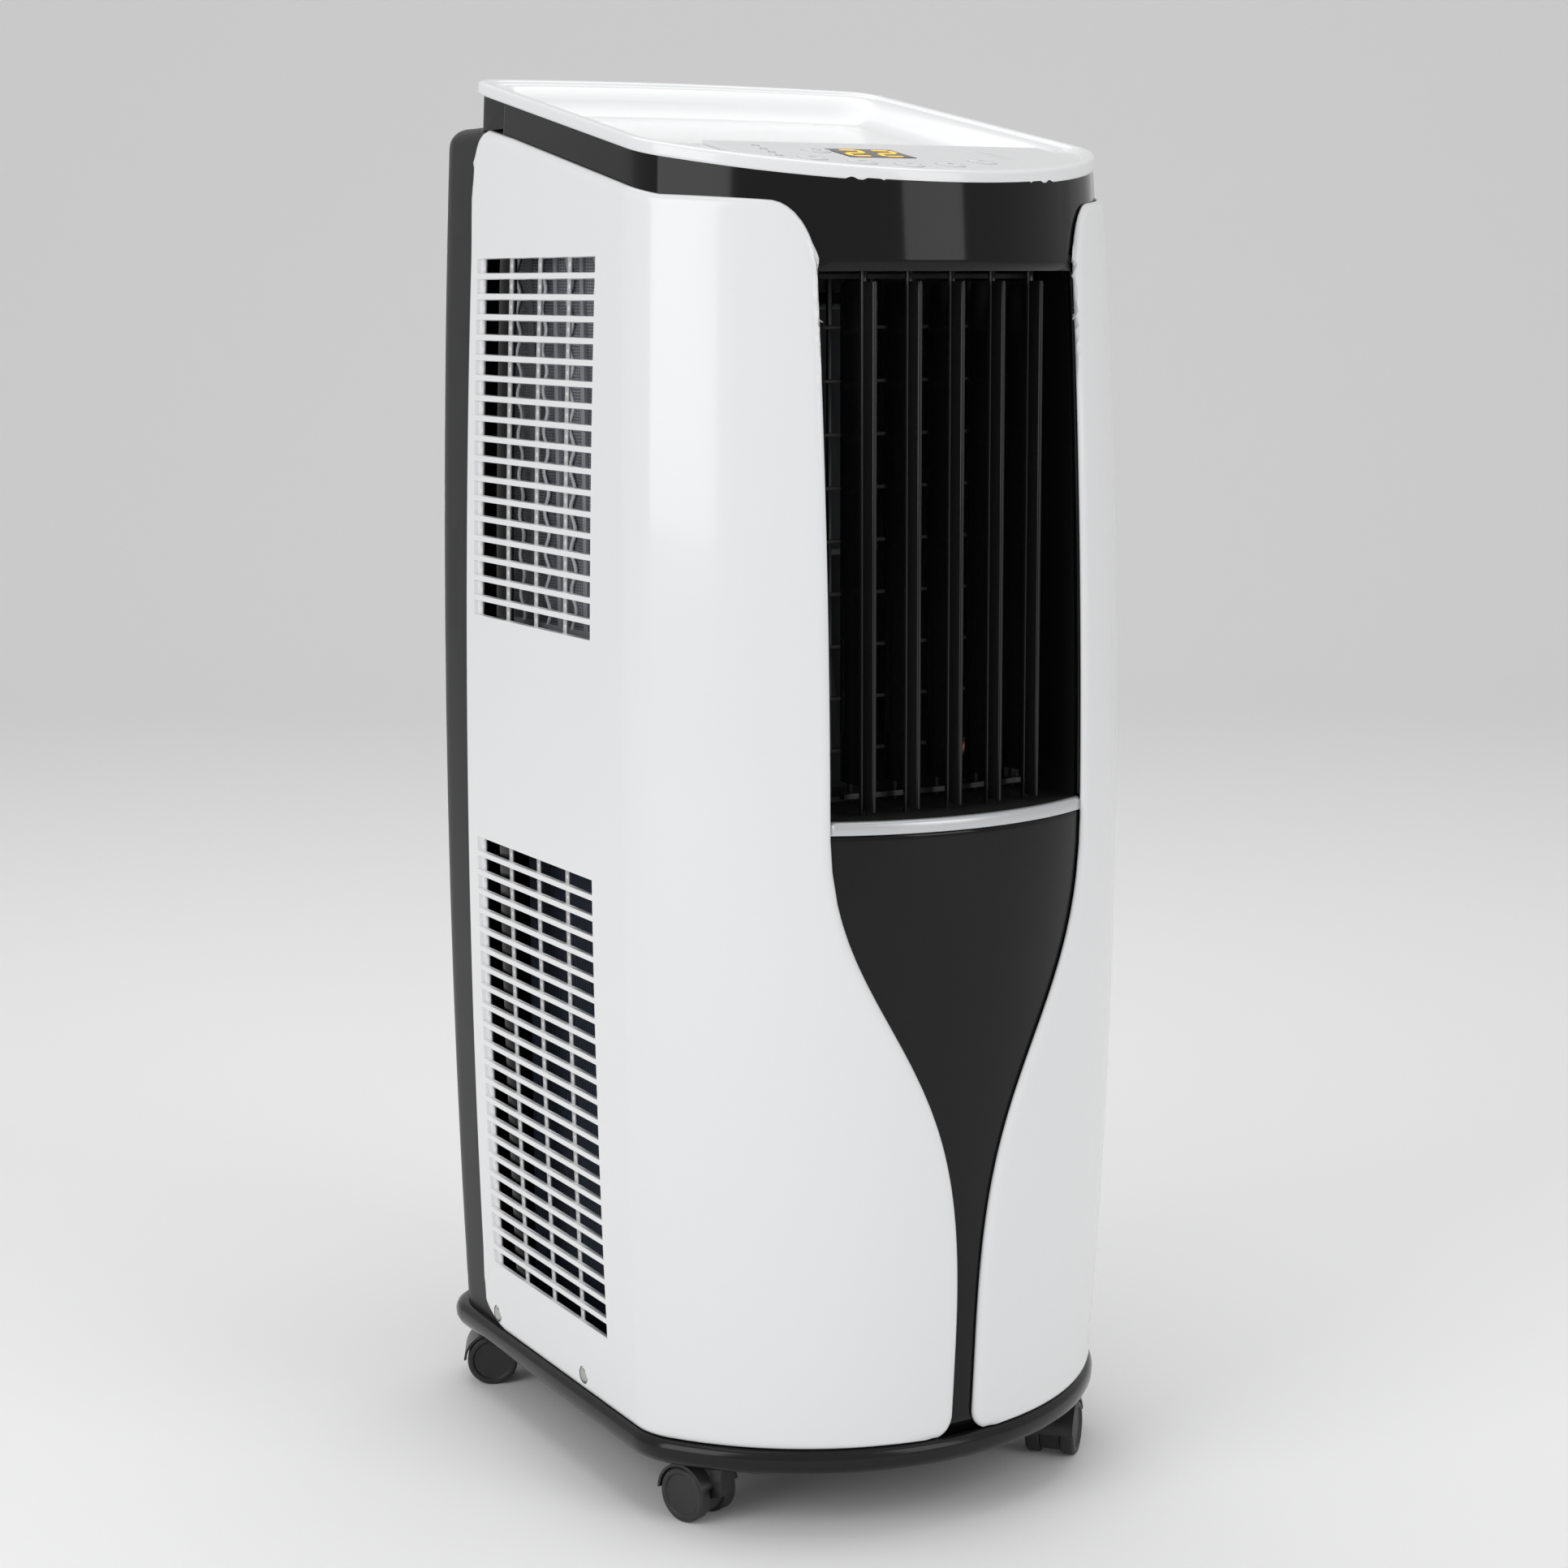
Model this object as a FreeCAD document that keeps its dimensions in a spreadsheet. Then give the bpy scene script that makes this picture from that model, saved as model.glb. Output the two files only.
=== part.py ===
import FreeCAD, Part

import math
import os

import Sketcher
from FreeCAD import Placement, Rotation, Vector

os.makedirs("parts", exist_ok=True)
doc = FreeCAD.newDocument("PortableAirConditioner")

# ---------------------------------------------------------------- driving dimensions
# A portable air conditioner on casters.  +X is the user's right when facing it, -Y is the
# front, +Z is up; the origin is the middle of its footprint on the floor.  All in mm.

sizes = doc.addObject("Spreadsheet::Sheet", "Sizes")


def write_sizes(title, **values):
    """Adds a titled block of rows: name in column A, plain number with an alias in column B."""
    row = write_sizes.next_row
    sizes.set("A%d" % row, title)
    for name, value in values.items():
        row += 1
        sizes.set("A%d" % row, name)
        sizes.set("B%d" % row, str(value))
        sizes.setAlias("B%d" % row, name)
    write_sizes.next_row = row + 2


write_sizes.next_row = 1

write_sizes(
    "Casing plan and barrel shape (outer face of the white side panels)",
    side_half=153, side_bulge=8, front_apex=197, front_bulge=14, front_radius=172,
    front_radius_drop=8, barrel_middle=370, barrel_reach=325, side_taper=0.0436,
    side_datum=-90, crease_radius=42, rear_apex=192, rear_radius=700, rear_corner=36,
)
write_sizes(
    "Levels and skins",
    tray_bottom=34, tray_floor=6, tray_top=48, frame_inset=4, wall=3, panel_wall=3.6,
    ledge_top=742, seam_depth=78, seam_gap=0.3, band_rear=128, band_corner=16,
    lid_front_low=703.7, lid_slope=0.195, lid_front=-184, lid_edge=5.5, lid_skirt=7,
    rim_wide=8,
)
write_sizes(
    "Air outlet and front",
    outlet_half=79, outlet_bottom=386, outlet_top=661, trim_top=385.5, trim_tall=7,
    front_plate_half=84.4, blade_pitch=25.4, blade_front=176.7, blade_arc=372, blade_chord=32,
    blade_nose=11, blade_thick=2.4, blade_bottom=388, blade_top=656, pivot_radius=2,
    pivot_fit=0.06, crank_back=12, crank_pin=1.5, link_thick=3, duct_wall=2, duct_rear=-78,
)
write_sizes(
    "Side grilles",
    grille_front=-53, grille_rear=100, grille_pitch=11.17, upper_first=670.5, upper_rows=18,
    lower_first=345, lower_rows=23, slot_tall=7.6, grille_columns=4, bar_wide=4.2,
    window_margin=3, panel_bottom=48.4, panel_top_front=701.3, panel_top_datum=-98.7,
    panel_slope=0.2, panel_corner=24, panel_rear_top=111.5, panel_rear_low=120.5,
)
write_sizes(
    "Goblet-shaped gap between the panels",
    stem_half=6.5, stem_level=100, bowl_half=79.5, bowl_level=380, goblet_waist=1.45,
    goblet_flare=12, shoulder_level=656, shoulder_middle=677.5, shoulder_lean=4.2,
    shoulder_top=691, shoulder_wide=18.6,
)
write_sizes(
    "Casters",
    wheel_radius=15, wheel_wide=8, caster_axle=2.5, caster_fit=0.05, hood_wide=11,
    hood_radius=16.2, stem_radius=4, stem_top=45, caster_trail=15,
    caster_front_x=112, caster_front_y=-116, caster_rear_x=104, caster_rear_y=142,
)
write_sizes(
    "Top controls",
    panel_rear_edge=-94, panel_side_half=104, panel_front_inset=8.4, panel_thick=2,
    window_x=-24, window_y=-126, window_wide=40, window_deep=26, button_radius=7.5,
    button_gap=0.2,
)
write_sizes(
    "Caster headings at rest, degrees from +Y towards -X, in the order of the corners",
    heading_front_left=18, heading_front_right=133, heading_rear_left=62, heading_rear_right=100,
)
write_sizes(
    "Cooling circuit and fans",
    partition_low=346, partition_thick=4, coil_inner=91, coil_thick=22, coil_front=-52,
    coil_rear=98, upper_coil_low=362, upper_coil_top=676, lower_coil_low=60, lower_coil_top=336,
    fan_radius=60, fan_low=372, fan_tall=272, fan_blades=30, fan_centre_y=14,
    exhaust_z=226, exhaust_radius=66, drum_radius=84, drum_front=30, drum_rear=130,
    compressor_radius=52, compressor_y=-96, compressor_low=56, compressor_tall=190,
    filter_inner=117, filter_thick=4, filter_front=-56, filter_rear=104,
    drain_x=-61, drain_low=62, drain_high=364.5, hook_x=100,
)
doc.recompute()


def mm(name):
    """The value of a named size."""
    return float(sizes.get(name))


# ---------------------------------------------------------------- helpers for bound objects

def bind(obj, **texts):
    """Binds properties to expressions; an underscore pair in a name stands for a dot."""
    for name, text in texts.items():
        obj.setExpression(name.replace("__", "."), str(text))
    return obj


def seat(obj, x, y, z):
    """Binds where an object stands."""
    return bind(obj, Placement__Base__x=x, Placement__Base__y=y, Placement__Base__z=z)


def box(name, corner, extent):
    """A Part::Box from its low corner and its length, width and height, each an expression."""
    obj = doc.addObject("Part::Box", name)
    bind(obj, Length=extent[0], Width=extent[1], Height=extent[2])
    return seat(obj, *corner)


TURN = {
    "z": Rotation(),
    "y": Rotation(Vector(1, 0, 0), -90),
    "x": Rotation(Vector(0, 1, 0), 90),
}


def cylinder(name, start, radius, reach, along="z"):
    """A Part::Cylinder from the middle of its first end, along +X, +Y or +Z."""
    obj = doc.addObject("Part::Cylinder", name)
    obj.Placement = Placement(Vector(), TURN[along])
    bind(obj, Radius=radius, Height=reach)
    return seat(obj, *start)


def join(label, pieces):
    obj = doc.addObject("Part::MultiFuse", label)
    obj.Shapes = pieces
    obj.Refine = True
    return obj


def cut(label, base, tools):
    obj = doc.addObject("Part::Cut", label)
    obj.Base = base
    obj.Tool = tools[0] if len(tools) == 1 else join(label + "_tools", tools)
    return obj


def feature(name, shape):
    obj = doc.addObject("Part::Feature", name)
    obj.Shape = shape
    return obj


NODES = []


def node(obj, label):
    """Marks an object as a finished sub-part: its label names its file."""
    obj.Label = label
    NODES.append(obj)
    return obj


def origin_plane(body, role):
    return [item for item in body.Origin.OriginFeatures if item.Role == role][0]


def sketch_on(body, name, role, level="0"):
    """An empty sketch on one of the body's own origin planes, lifted by a bound distance."""
    sketch = body.newObject("Sketcher::SketchObject", name)
    sketch.AttachmentSupport = [(origin_plane(body, role), "")]
    sketch.MapMode = "FlatFace"
    sketch.setExpression("AttachmentOffset.Base.z", level)
    return sketch


def ring_of_points(sketch, points):
    """A closed polygon whose corners are bound to expressions."""
    count = len(points)
    for index in range(count):
        here = Vector(index, index * 0.5, 0)
        there = Vector(index + 1, index * 0.5 + 1, 0)
        sketch.addGeometry(Part.LineSegment(here, there), False)
    for index in range(count):
        after = (index + 1) % count
        sketch.addConstraint(Sketcher.Constraint("Coincident", index, 2, after, 1))
    for index, (across, upward) in enumerate(points):
        for kind, text in (("DistanceX", across), ("DistanceY", upward)):
            number = sketch.addConstraint(Sketcher.Constraint(kind, -1, 1, index, 1, 1.0))
            sketch.setExpression("Constraints[%d]" % number, str(text))


def circle_in(sketch, across, upward, radius):
    """A circle whose centre and radius are bound to expressions."""
    index = sketch.addGeometry(Part.Circle(Vector(1, 1, 0), Vector(0, 0, 1), 1), False)
    if (across, upward) == ("0", "0"):
        sketch.addConstraint(Sketcher.Constraint("Coincident", index, 3, -1, 1))
    else:
        for kind, text in (("DistanceX", across), ("DistanceY", upward)):
            number = sketch.addConstraint(Sketcher.Constraint(kind, -1, 1, index, 3, 1.0))
            sketch.setExpression("Constraints[%d]" % number, str(text))
    number = sketch.addConstraint(Sketcher.Constraint("Radius", index, 1.0))
    sketch.setExpression("Constraints[%d]" % number, str(radius))


def pad(body, sketch, length):
    obj = body.newObject("PartDesign::Pad", sketch.Name + "_pad")
    obj.Profile = sketch
    obj.setExpression("Length", str(length))
    return obj


def revolve(body, sketch, axis="V_Axis"):
    """A full turn of a half profile about the sketch's own vertical or horizontal axis."""
    obj = body.newObject("PartDesign::Revolution", sketch.Name + "_turned")
    obj.Profile = sketch
    obj.ReferenceAxis = (sketch, [axis])
    obj.Angle = 360
    return obj


def new_body(label):
    return node(doc.addObject("PartDesign::Body", label), label)


# ---------------------------------------------------------------- barrel-shaped casing

def swell(z):
    """How far a level lies from the barrel's middle, squared: 0 in the middle, about 1 at the ends."""
    return ((z - mm("barrel_middle")) / mm("barrel_reach")) ** 2


def outline(z, proud=0.0, rear_apex=None, rear_corner=None):
    """The casing's plan at a level: front arc, soft crease, tapering side, rear corner, rear arc."""
    radius = mm("front_radius") - mm("front_radius_drop") * swell(z) + proud
    apex = -mm("front_apex") + mm("front_bulge") * swell(z) - proud
    half = mm("side_half") - mm("side_bulge") * swell(z) + proud
    back = (mm("rear_apex") if rear_apex is None else rear_apex) + proud
    crease = mm("crease_radius")
    corner = mm("rear_corner") if rear_corner is None else rear_corner
    front_centre = Vector(0, apex + radius, z)
    rear_centre = Vector(0, back - mm("rear_radius"), z)
    along = Vector(mm("side_taper"), 1, 0).normalize()
    inward = Vector(1, -mm("side_taper"), 0).normalize()
    datum = Vector(-half, mm("side_datum"), z)

    def rolling_centre(fillet, centre, big, direction):
        start = datum + inward * fillet - centre
        slide = -start.dot(along)
        reach = math.sqrt(slide**2 - start.dot(start) + (big - fillet) ** 2)
        return datum + inward * fillet + along * (slide + direction * reach)

    crease_centre = rolling_centre(crease, front_centre, radius, -1)
    corner_centre = rolling_centre(corner, rear_centre, mm("rear_radius"), 1)
    on_front = front_centre + (crease_centre - front_centre).normalize() * radius
    side_start = crease_centre - inward * crease
    side_end = corner_centre - inward * corner
    on_rear = rear_centre + (corner_centre - rear_centre).normalize() * mm("rear_radius")

    def halfway(centre, first, second, size):
        return centre + ((first - centre) + (second - centre)).normalize() * size

    crease_mid = halfway(crease_centre, on_front, side_start, crease)
    corner_mid = halfway(corner_centre, side_end, on_rear, corner)

    def flip(point):
        return Vector(-point.x, point.y, point.z)

    front_mid = Vector(0, apex, z)
    rear_mid = Vector(0, back, z)
    return Part.Wire([
        Part.Arc(flip(on_front), front_mid, on_front).toShape(),
        Part.Arc(on_front, crease_mid, side_start).toShape(),
        Part.LineSegment(side_start, side_end).toShape(),
        Part.Arc(side_end, corner_mid, on_rear).toShape(),
        Part.Arc(on_rear, rear_mid, flip(on_rear)).toShape(),
        Part.Arc(flip(on_rear), flip(corner_mid), flip(side_end)).toShape(),
        Part.LineSegment(flip(side_end), flip(side_start)).toShape(),
        Part.Arc(flip(side_start), flip(crease_mid), flip(on_front)).toShape(),
    ])


LEVELS = [20 + 110 * step for step in range(8)]
GOBLET_STEPS = 10


def barrel(proud, **rear):
    """The solid casing form, standing proud of the panel face by a distance."""
    return Part.makeLoft([outline(z, proud, **rear) for z in LEVELS], True, False)


def stack(steps, **rear):
    """A solid with flat facets through plans given as (level, proud)."""
    return Part.makeLoft([outline(z, proud, **rear) for z, proud in steps], True, True)


def slab(low, high):
    """A plain block from one corner to the other."""
    low = Vector(*low)
    extent = Vector(*high) - low
    return Part.makeBox(extent.x, extent.y, extent.z, low)


FAR = 400.0


def lid_plane(rise):
    """A block that holds everything below the lid's sloping lower edge plus a rise."""
    slope = mm("lid_slope")
    front = mm("lid_front_low") + rise - (FAR + mm("lid_front")) * slope
    rear = mm("lid_front_low") + rise + (FAR - mm("lid_front")) * slope
    profile = Part.makePolygon([
        Vector(-FAR, -FAR, -10), Vector(-FAR, FAR, -10), Vector(-FAR, FAR, rear),
        Vector(-FAR, -FAR, front), Vector(-FAR, -FAR, -10),
    ])
    return Part.Face(profile).extrude(Vector(2 * FAR, 0, 0))


inset = -mm("frame_inset")
lining = inset - mm("wall")
rear_of_band = dict(rear_apex=mm("band_rear") + mm("frame_inset"), rear_corner=mm("band_corner"))
outer_form = barrel(inset)
inner_form = barrel(lining)
below_lid = lid_plane(0)
half_outlet = mm("outlet_half")
plate_half = mm("front_plate_half")
tray_top = mm("tray_top")
seam = mm("seam_depth")


def grille_windows(inner):
    """Openings behind both grilles on both sides of the casing."""
    margin = mm("window_margin")
    pitch = mm("grille_pitch")
    front = mm("grille_front") - margin
    rear = mm("grille_rear") + margin
    blocks = []
    for first, rows in (("upper_first", "upper_rows"), ("lower_first", "lower_rows")):
        top = mm(first) + margin
        bottom = mm(first) - pitch * mm(rows) - margin
        blocks.append(slab((inner, front, bottom), (FAR, rear, top)))
        blocks.append(slab((-FAR, front, bottom), (-inner, rear, top)))
    return blocks


# ---------------------------------------------------------------- base tray

def make_base_tray():
    """A pan: rounded rim, floor, bored bosses for the caster stems, a fork for the float's pin."""
    low = mm("tray_bottom")
    body = stack([(low, -2.0), (low + 2, 1.2), (low + 5, 2.5), (low + 9, 2.5),
                  (low + 12, 1.4), (tray_top, -1.0)])
    body = body.cut(stack([(low + mm("tray_floor"), -8.0), (tray_top + 1, -8.0)]))
    bosses = []
    bores = []
    for x, y in caster_places():
        bosses.append(Part.makeCylinder(8, tray_top - 0.5 - low, Vector(x, y, low)))
        bore = mm("stem_radius") + mm("caster_fit")
        bores.append(Part.makeCylinder(bore, mm("stem_top") + 0.5 - low, Vector(x, y, low)))
    for x, y in compressor_feet_places():
        bosses.append(Part.makeCylinder(4, 4, Vector(x, y, low + mm("tray_floor") - 1)))
    bosses.append(slab((-48, 124, 40), (-28, 132, 44)))
    bosses += [slab((x, 124, 40), (x + 2.5, 132, 64)) for x in (-46.0, -32.5)]
    bores.append(Part.makeCylinder(2.06, 30, Vector(-52, 128, 59.5), Vector(1, 0, 0)))
    return body.fuse(bosses).cut(bores).removeSplitter()


def caster_places():
    front = mm("caster_front_x")
    rear = mm("caster_rear_x")
    return [(-front, mm("caster_front_y")), (front, mm("caster_front_y")),
            (-rear, mm("caster_rear_y")), (rear, mm("caster_rear_y"))]


def compressor_feet_places():
    reach = mm("compressor_radius") + 12
    middle = mm("compressor_y")
    angles = [math.radians(degrees) for degrees in (90, 210, 330)]
    return [(reach * math.cos(a), middle + reach * math.sin(a)) for a in angles]


node(feature("base_tray", make_base_tray()), "base_tray")

# ---------------------------------------------------------------- gloss black front frame

band_outer = barrel(inset, **rear_of_band)
band_inner = barrel(lining, **rear_of_band)


def make_front_frame():
    """The front half of the black casing, with the outlet, the front plate's bay and windows."""
    skin = outer_form.cut(inner_form)
    skin = skin.common(slab((-FAR, -FAR, tray_top), (FAR, seam, FAR * 2))).common(below_lid)
    bay = slab((-plate_half - 0.3, -FAR, 0), (plate_half + 0.3, -60, mm("outlet_bottom")))
    mouth = slab((-half_outlet, -FAR, mm("outlet_bottom") - 1), (half_outlet, -60, mm("outlet_top")))
    return skin.cut([bay, mouth] + grille_windows(100)).removeSplitter()


node(feature("front_frame", make_front_frame()), "front_frame")


def make_lower_front_panel():
    top = mm("trim_top") - mm("trim_tall") - 0.2
    keep = slab((-plate_half, -FAR, tray_top), (plate_half, -60, top))
    return outer_form.cut(inner_form).common(keep).removeSplitter()


node(feature("lower_front_panel", make_lower_front_panel()), "lower_front_panel")


def make_trim_strip():
    top = mm("trim_top")
    keep = slab((-half_outlet + 0.4, -FAR, top - mm("trim_tall")), (half_outlet - 0.4, -60, top))
    return barrel(inset + 1).cut(inner_form).common(keep).removeSplitter()


node(feature("trim_strip", make_trim_strip()), "trim_strip")

# ---------------------------------------------------------------- white side panels

def side_prism():
    """The panel's outline seen from the side, carried across the casing."""
    low = mm("panel_bottom")
    corner = mm("panel_corner")
    slope = mm("panel_slope")
    rear_top = mm("panel_rear_top")
    rear_low = mm("panel_rear_low")

    def edge_height(y):
        return mm("panel_top_front") + slope * (y - mm("panel_top_datum"))

    points = [Vector(-FAR, -230, low), Vector(-FAR, rear_low, low),
              Vector(-FAR, rear_top, edge_height(rear_top)), Vector(-FAR, -230, edge_height(-230))]
    face = Part.Face(Part.makePolygon(points + [points[0]]))
    block = face.extrude(Vector(2 * FAR, 0, 0))
    rear_edges = [e for e in block.Edges if abs(e.Length - 2 * FAR) < 1 and e.CenterOfMass.y > 0]
    return block.makeFillet(corner, rear_edges)


def goblet_half(level):
    """Half width of the gap above its stem: stem + (bowl - stem) t^2 / (t^2 + (waist (1 - t))^2)."""
    t = (level - mm("stem_level")) / (mm("bowl_level") - mm("stem_level"))
    share = t**2 / (t**2 + (mm("goblet_waist") * (1 - t)) ** 2)
    return mm("stem_half") + (mm("bowl_half") - mm("stem_half")) * share


def goblet_prism():
    """The goblet-shaped space between the two panels seen from the front, carried backwards."""
    stem = mm("stem_half")
    bowl = mm("bowl_half")
    flare = mm("goblet_flare")
    foot = mm("tray_top")
    up = Vector(0, 0, 1)
    near = flare * (1 - math.sqrt(0.5))
    flare_arc = Part.Arc(Vector(-stem - flare, -FAR, foot),
                         Vector(-stem - near, -FAR, foot + near),
                         Vector(-stem, -FAR, foot + flare))
    step = (mm("bowl_level") - mm("stem_level")) / GOBLET_STEPS
    levels = [mm("stem_level") + step * index for index in range(GOBLET_STEPS + 1)]
    rise = Part.BSplineCurve()
    rise.interpolate(Points=[Vector(-goblet_half(z), -FAR, z) for z in levels],
                     InitialTangent=up, FinalTangent=up)
    wide = bowl + mm("shoulder_wide")
    crown = Vector(-wide, -FAR, mm("shoulder_top") + 70)
    shoulder = Part.Arc(Vector(-bowl, -FAR, mm("shoulder_level")),
                        Vector(-bowl - mm("shoulder_lean"), -FAR, mm("shoulder_middle")),
                        Vector(-wide, -FAR, mm("shoulder_top")))
    half_edges = [
        flare_arc.toShape(),
        Part.makeLine(Vector(-stem, -FAR, foot + flare), Vector(-stem, -FAR, levels[0])),
        rise.toShape(),
        Part.makeLine(Vector(-bowl, -FAR, levels[-1]), Vector(-bowl, -FAR, mm("shoulder_level"))),
        shoulder.toShape(),
        Part.makeLine(Vector(-wide, -FAR, mm("shoulder_top")), crown),
    ]
    mirrored = [edge.mirror(Vector(), Vector(1, 0, 0)) for edge in half_edges]
    across = [Part.makeLine(Vector(-stem - flare, -FAR, foot), Vector(stem + flare, -FAR, foot)),
              Part.makeLine(crown, Vector(-crown.x, -FAR, crown.z))]
    edges = Part.__sortEdges__(half_edges + mirrored + across)
    return Part.Face(Part.Wire(edges)).extrude(Vector(0, FAR - 60, 0))


def grille_slots():
    """Every slot of both grilles of the left panel: rows of four, each 7.6 tall."""
    front = mm("grille_front")
    rear = mm("grille_rear")
    count = int(mm("grille_columns"))
    bar = mm("bar_wide")
    pocket = 7.0
    step = (rear - pocket - front + bar) / count
    slots = []
    for first, rows in (("upper_first", "upper_rows"), ("lower_first", "lower_rows")):
        for row in range(int(mm(rows))):
            middle = mm(first) - mm("grille_pitch") * (row + 0.5)
            for column in range(count):
                start = front + step * column
                slots.append(slab((-FAR, start, middle - mm("slot_tall") / 2),
                                  (-90, start + step - bar, middle + mm("slot_tall") / 2)))
    return slots


def make_side_panel():
    """The left white shell: 3.6 thick, proud of the black casing, grilles and screw seats cut."""
    shell = barrel(0).cut(barrel(-mm("panel_wall")))
    shell = shell.common(side_prism()).common(slab((-FAR, -FAR, 0), (-5, FAR, FAR * 2)))
    shell = shell.cut(goblet_prism())
    seats = []
    for y, z in screw_places():
        outer = casing_half(z, y)
        seats.append(Part.makeCylinder(2.2, 140, Vector(-240, y, z), Vector(1, 0, 0)))
        seats.append(Part.makeCylinder(5, 60, Vector(-outer - 58, y, z), Vector(1, 0, 0)))
    return shell.cut(grille_slots() + seats).removeSplitter()


def casing_half(z, y):
    """Half the casing's width at the panel face, on the side's straight stretch."""
    return mm("side_half") - mm("side_bulge") * swell(z) - mm("side_taper") * (y - mm("side_datum"))


def screw_places():
    return [(100.0, 58.0), (-19.0, 58.0)]


left_shape = make_side_panel()
mirror_x = Vector(1, 0, 0)
node(feature("left_side_panel", left_shape), "left_side_panel")
node(feature("right_side_panel", left_shape.mirror(Vector(), mirror_x)), "right_side_panel")

# ---------------------------------------------------------------- rear housing

def rounded_top(form, top, radius):
    """A casing form cut level at the top, its upper edge rounded."""
    block = form.common(slab((-FAR, -FAR, 0), (FAR, FAR, top)))
    edges = [e for e in block.Edges if e.BoundBox.ZMin > top - 0.01]
    return block.makeFillet(radius, edges)


def make_rear_housing():
    """The rear half of the casing: a ledge below the band, windows, grip, exhaust and service holes."""
    ledge = mm("ledge_top")
    wall = mm("wall")
    shell = rounded_top(outer_form, ledge, 11).cut(rounded_top(inner_form, ledge - wall, 8))
    band = band_outer.cut(band_inner).common(slab((-FAR, -FAR, ledge - wall), (FAR, FAR, FAR * 2)))
    shell = shell.fuse(band.common(below_lid))
    shell = shell.cut(band_inner.common(slab((-FAR, -FAR, ledge - 20), (FAR, FAR, FAR * 2))))
    shell = shell.common(slab((-FAR, seam + mm("seam_gap"), tray_top), (FAR, FAR, FAR * 2)))
    exhaust = Part.makeCylinder(mm("exhaust_radius") + 3.2, 90, Vector(0, 140, mm("exhaust_z")),
                                Vector(0, 1, 0))
    low = mm("upper_coil_low") + 100
    inner = mm("filter_inner") - 0.5
    outer = inner + mm("filter_thick") + 1
    ways = [slab((side * inner if side > 0 else -outer, 100, low),
                 (outer if side > 0 else -inner, FAR, low + 214)) for side in (1, -1)]
    grip = slab((-52, 150, 640), (52, FAR, 668))
    cup = slab((-54.5, 158, 637.5), (54.5, 186, 670.5)).cut(slab((-52, 160.5, 640), (52, FAR, 668)))
    holes = [Part.makeCylinder(radius, 60, Vector(x, 150, z), Vector(0, 1, 0))
             for x, z, radius in ((mm("drain_x"), mm("drain_low"), 7.3),
                                  (mm("drain_x"), mm("drain_high"), 7.3), (70, 84, 6.2))]
    for x, z in rear_screw_places():
        holes.append(Part.makeCylinder(1.8, 60, Vector(x, 150, z), Vector(0, 1, 0)))
    shell = shell.cut(grille_windows(100) + [exhaust, grip] + ways + holes)
    return shell.fuse(cup.common(barrel(inset - 0.4))).removeSplitter()


def rear_screw_places():
    return [(x, z) for z in (120, 420, 706) for x in (-88, 88)]


node(feature("rear_housing", make_rear_housing()), "rear_housing")

# ---------------------------------------------------------------- top cover and its controls

lid_rear = dict(rear_apex=mm("band_rear") + 4, rear_corner=mm("band_corner") + 2)
TILT = math.degrees(math.atan(mm("lid_slope")))
LID_FRAME = Placement(Vector(0, mm("lid_front"), mm("lid_front_low")), Rotation(Vector(1, 0, 0), TILT))


def on_lid(x, y, rise):
    """A point above the lid's lower plane, from its plan place and its height along the normal."""
    run = (y - mm("lid_front")) / math.cos(math.radians(TILT))
    return LID_FRAME.multVec(Vector(x, run, rise))


def between(low, high):
    return lid_plane(high).cut(lid_plane(low))


def make_top_cover():
    """A sloping cover: thick rounded rim, level front land for the controls, dished basin behind."""
    edge = mm("lid_edge")
    rim = barrel(-2, **lid_rear).common(between(0, edge))
    skirt = barrel(lining - 0.3, **rear_of_band).cut(barrel(lining - 2.3, **rear_of_band))
    skirt = skirt.common(between(-mm("lid_skirt"), 0))
    behind = slab((-FAR, mm("panel_rear_edge") + 12, 0), (FAR, FAR, FAR * 2))
    pan = barrel(-20, **lid_rear).common(between(-14, 0)).common(behind)
    behind = slab((-FAR, mm("panel_rear_edge") + 14.4, 0), (FAR, FAR, FAR * 2))
    basin = barrel(-22.4, **lid_rear).common(between(-11.6, 30)).common(behind)
    land = barrel(-mm("rim_wide"), **lid_rear).common(between(edge - 2, 30))
    return rim.fuse([skirt, pan]).cut([land, basin]).removeSplitter()


node(feature("top_cover", make_top_cover()), "top_cover")

BUTTONS = {
    "power": (-53, -120), "mode": (-70, -144), "fan_speed": (-47, -154.5),
    "cooler": (-23, -160.5), "warmer": (3.5, -158), "timer": (30.5, -147),
}


def make_control_panel():
    """A thin crescent plate on the lid's front land, holed for the window and the buttons."""
    rise = mm("lid_edge") - 2
    plate = barrel(-mm("panel_front_inset"), **lid_rear).common(between(rise, rise + mm("panel_thick")))
    half = mm("panel_side_half")
    plate = plate.common(slab((-half, -FAR, 0), (half, mm("panel_rear_edge"), FAR * 2)))
    holes = [lid_block(mm("window_x"), mm("window_y"), mm("window_wide") + 0.3, mm("window_deep") + 0.3)]
    for x, y in BUTTONS.values():
        reach = mm("button_radius") + mm("button_gap")
        square_on = LID_FRAME.Rotation.multVec(Vector(0, 0, 1))
        holes.append(Part.makeCylinder(reach, 20, on_lid(x, y, -5), square_on))
    return plate.cut(holes).removeSplitter()


def lid_block(x, y, wide, deep, low=-5.0, high=15.0):
    """A block square to the lid's slope, centred on a plan place."""
    block = Part.makeBox(wide, deep, high - low, Vector(-wide / 2, -deep / 2, low))
    block.Placement = Placement(on_lid(x, y, 0), LID_FRAME.Rotation)
    return block


node(feature("control_panel", make_control_panel()), "control_panel")

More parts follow.
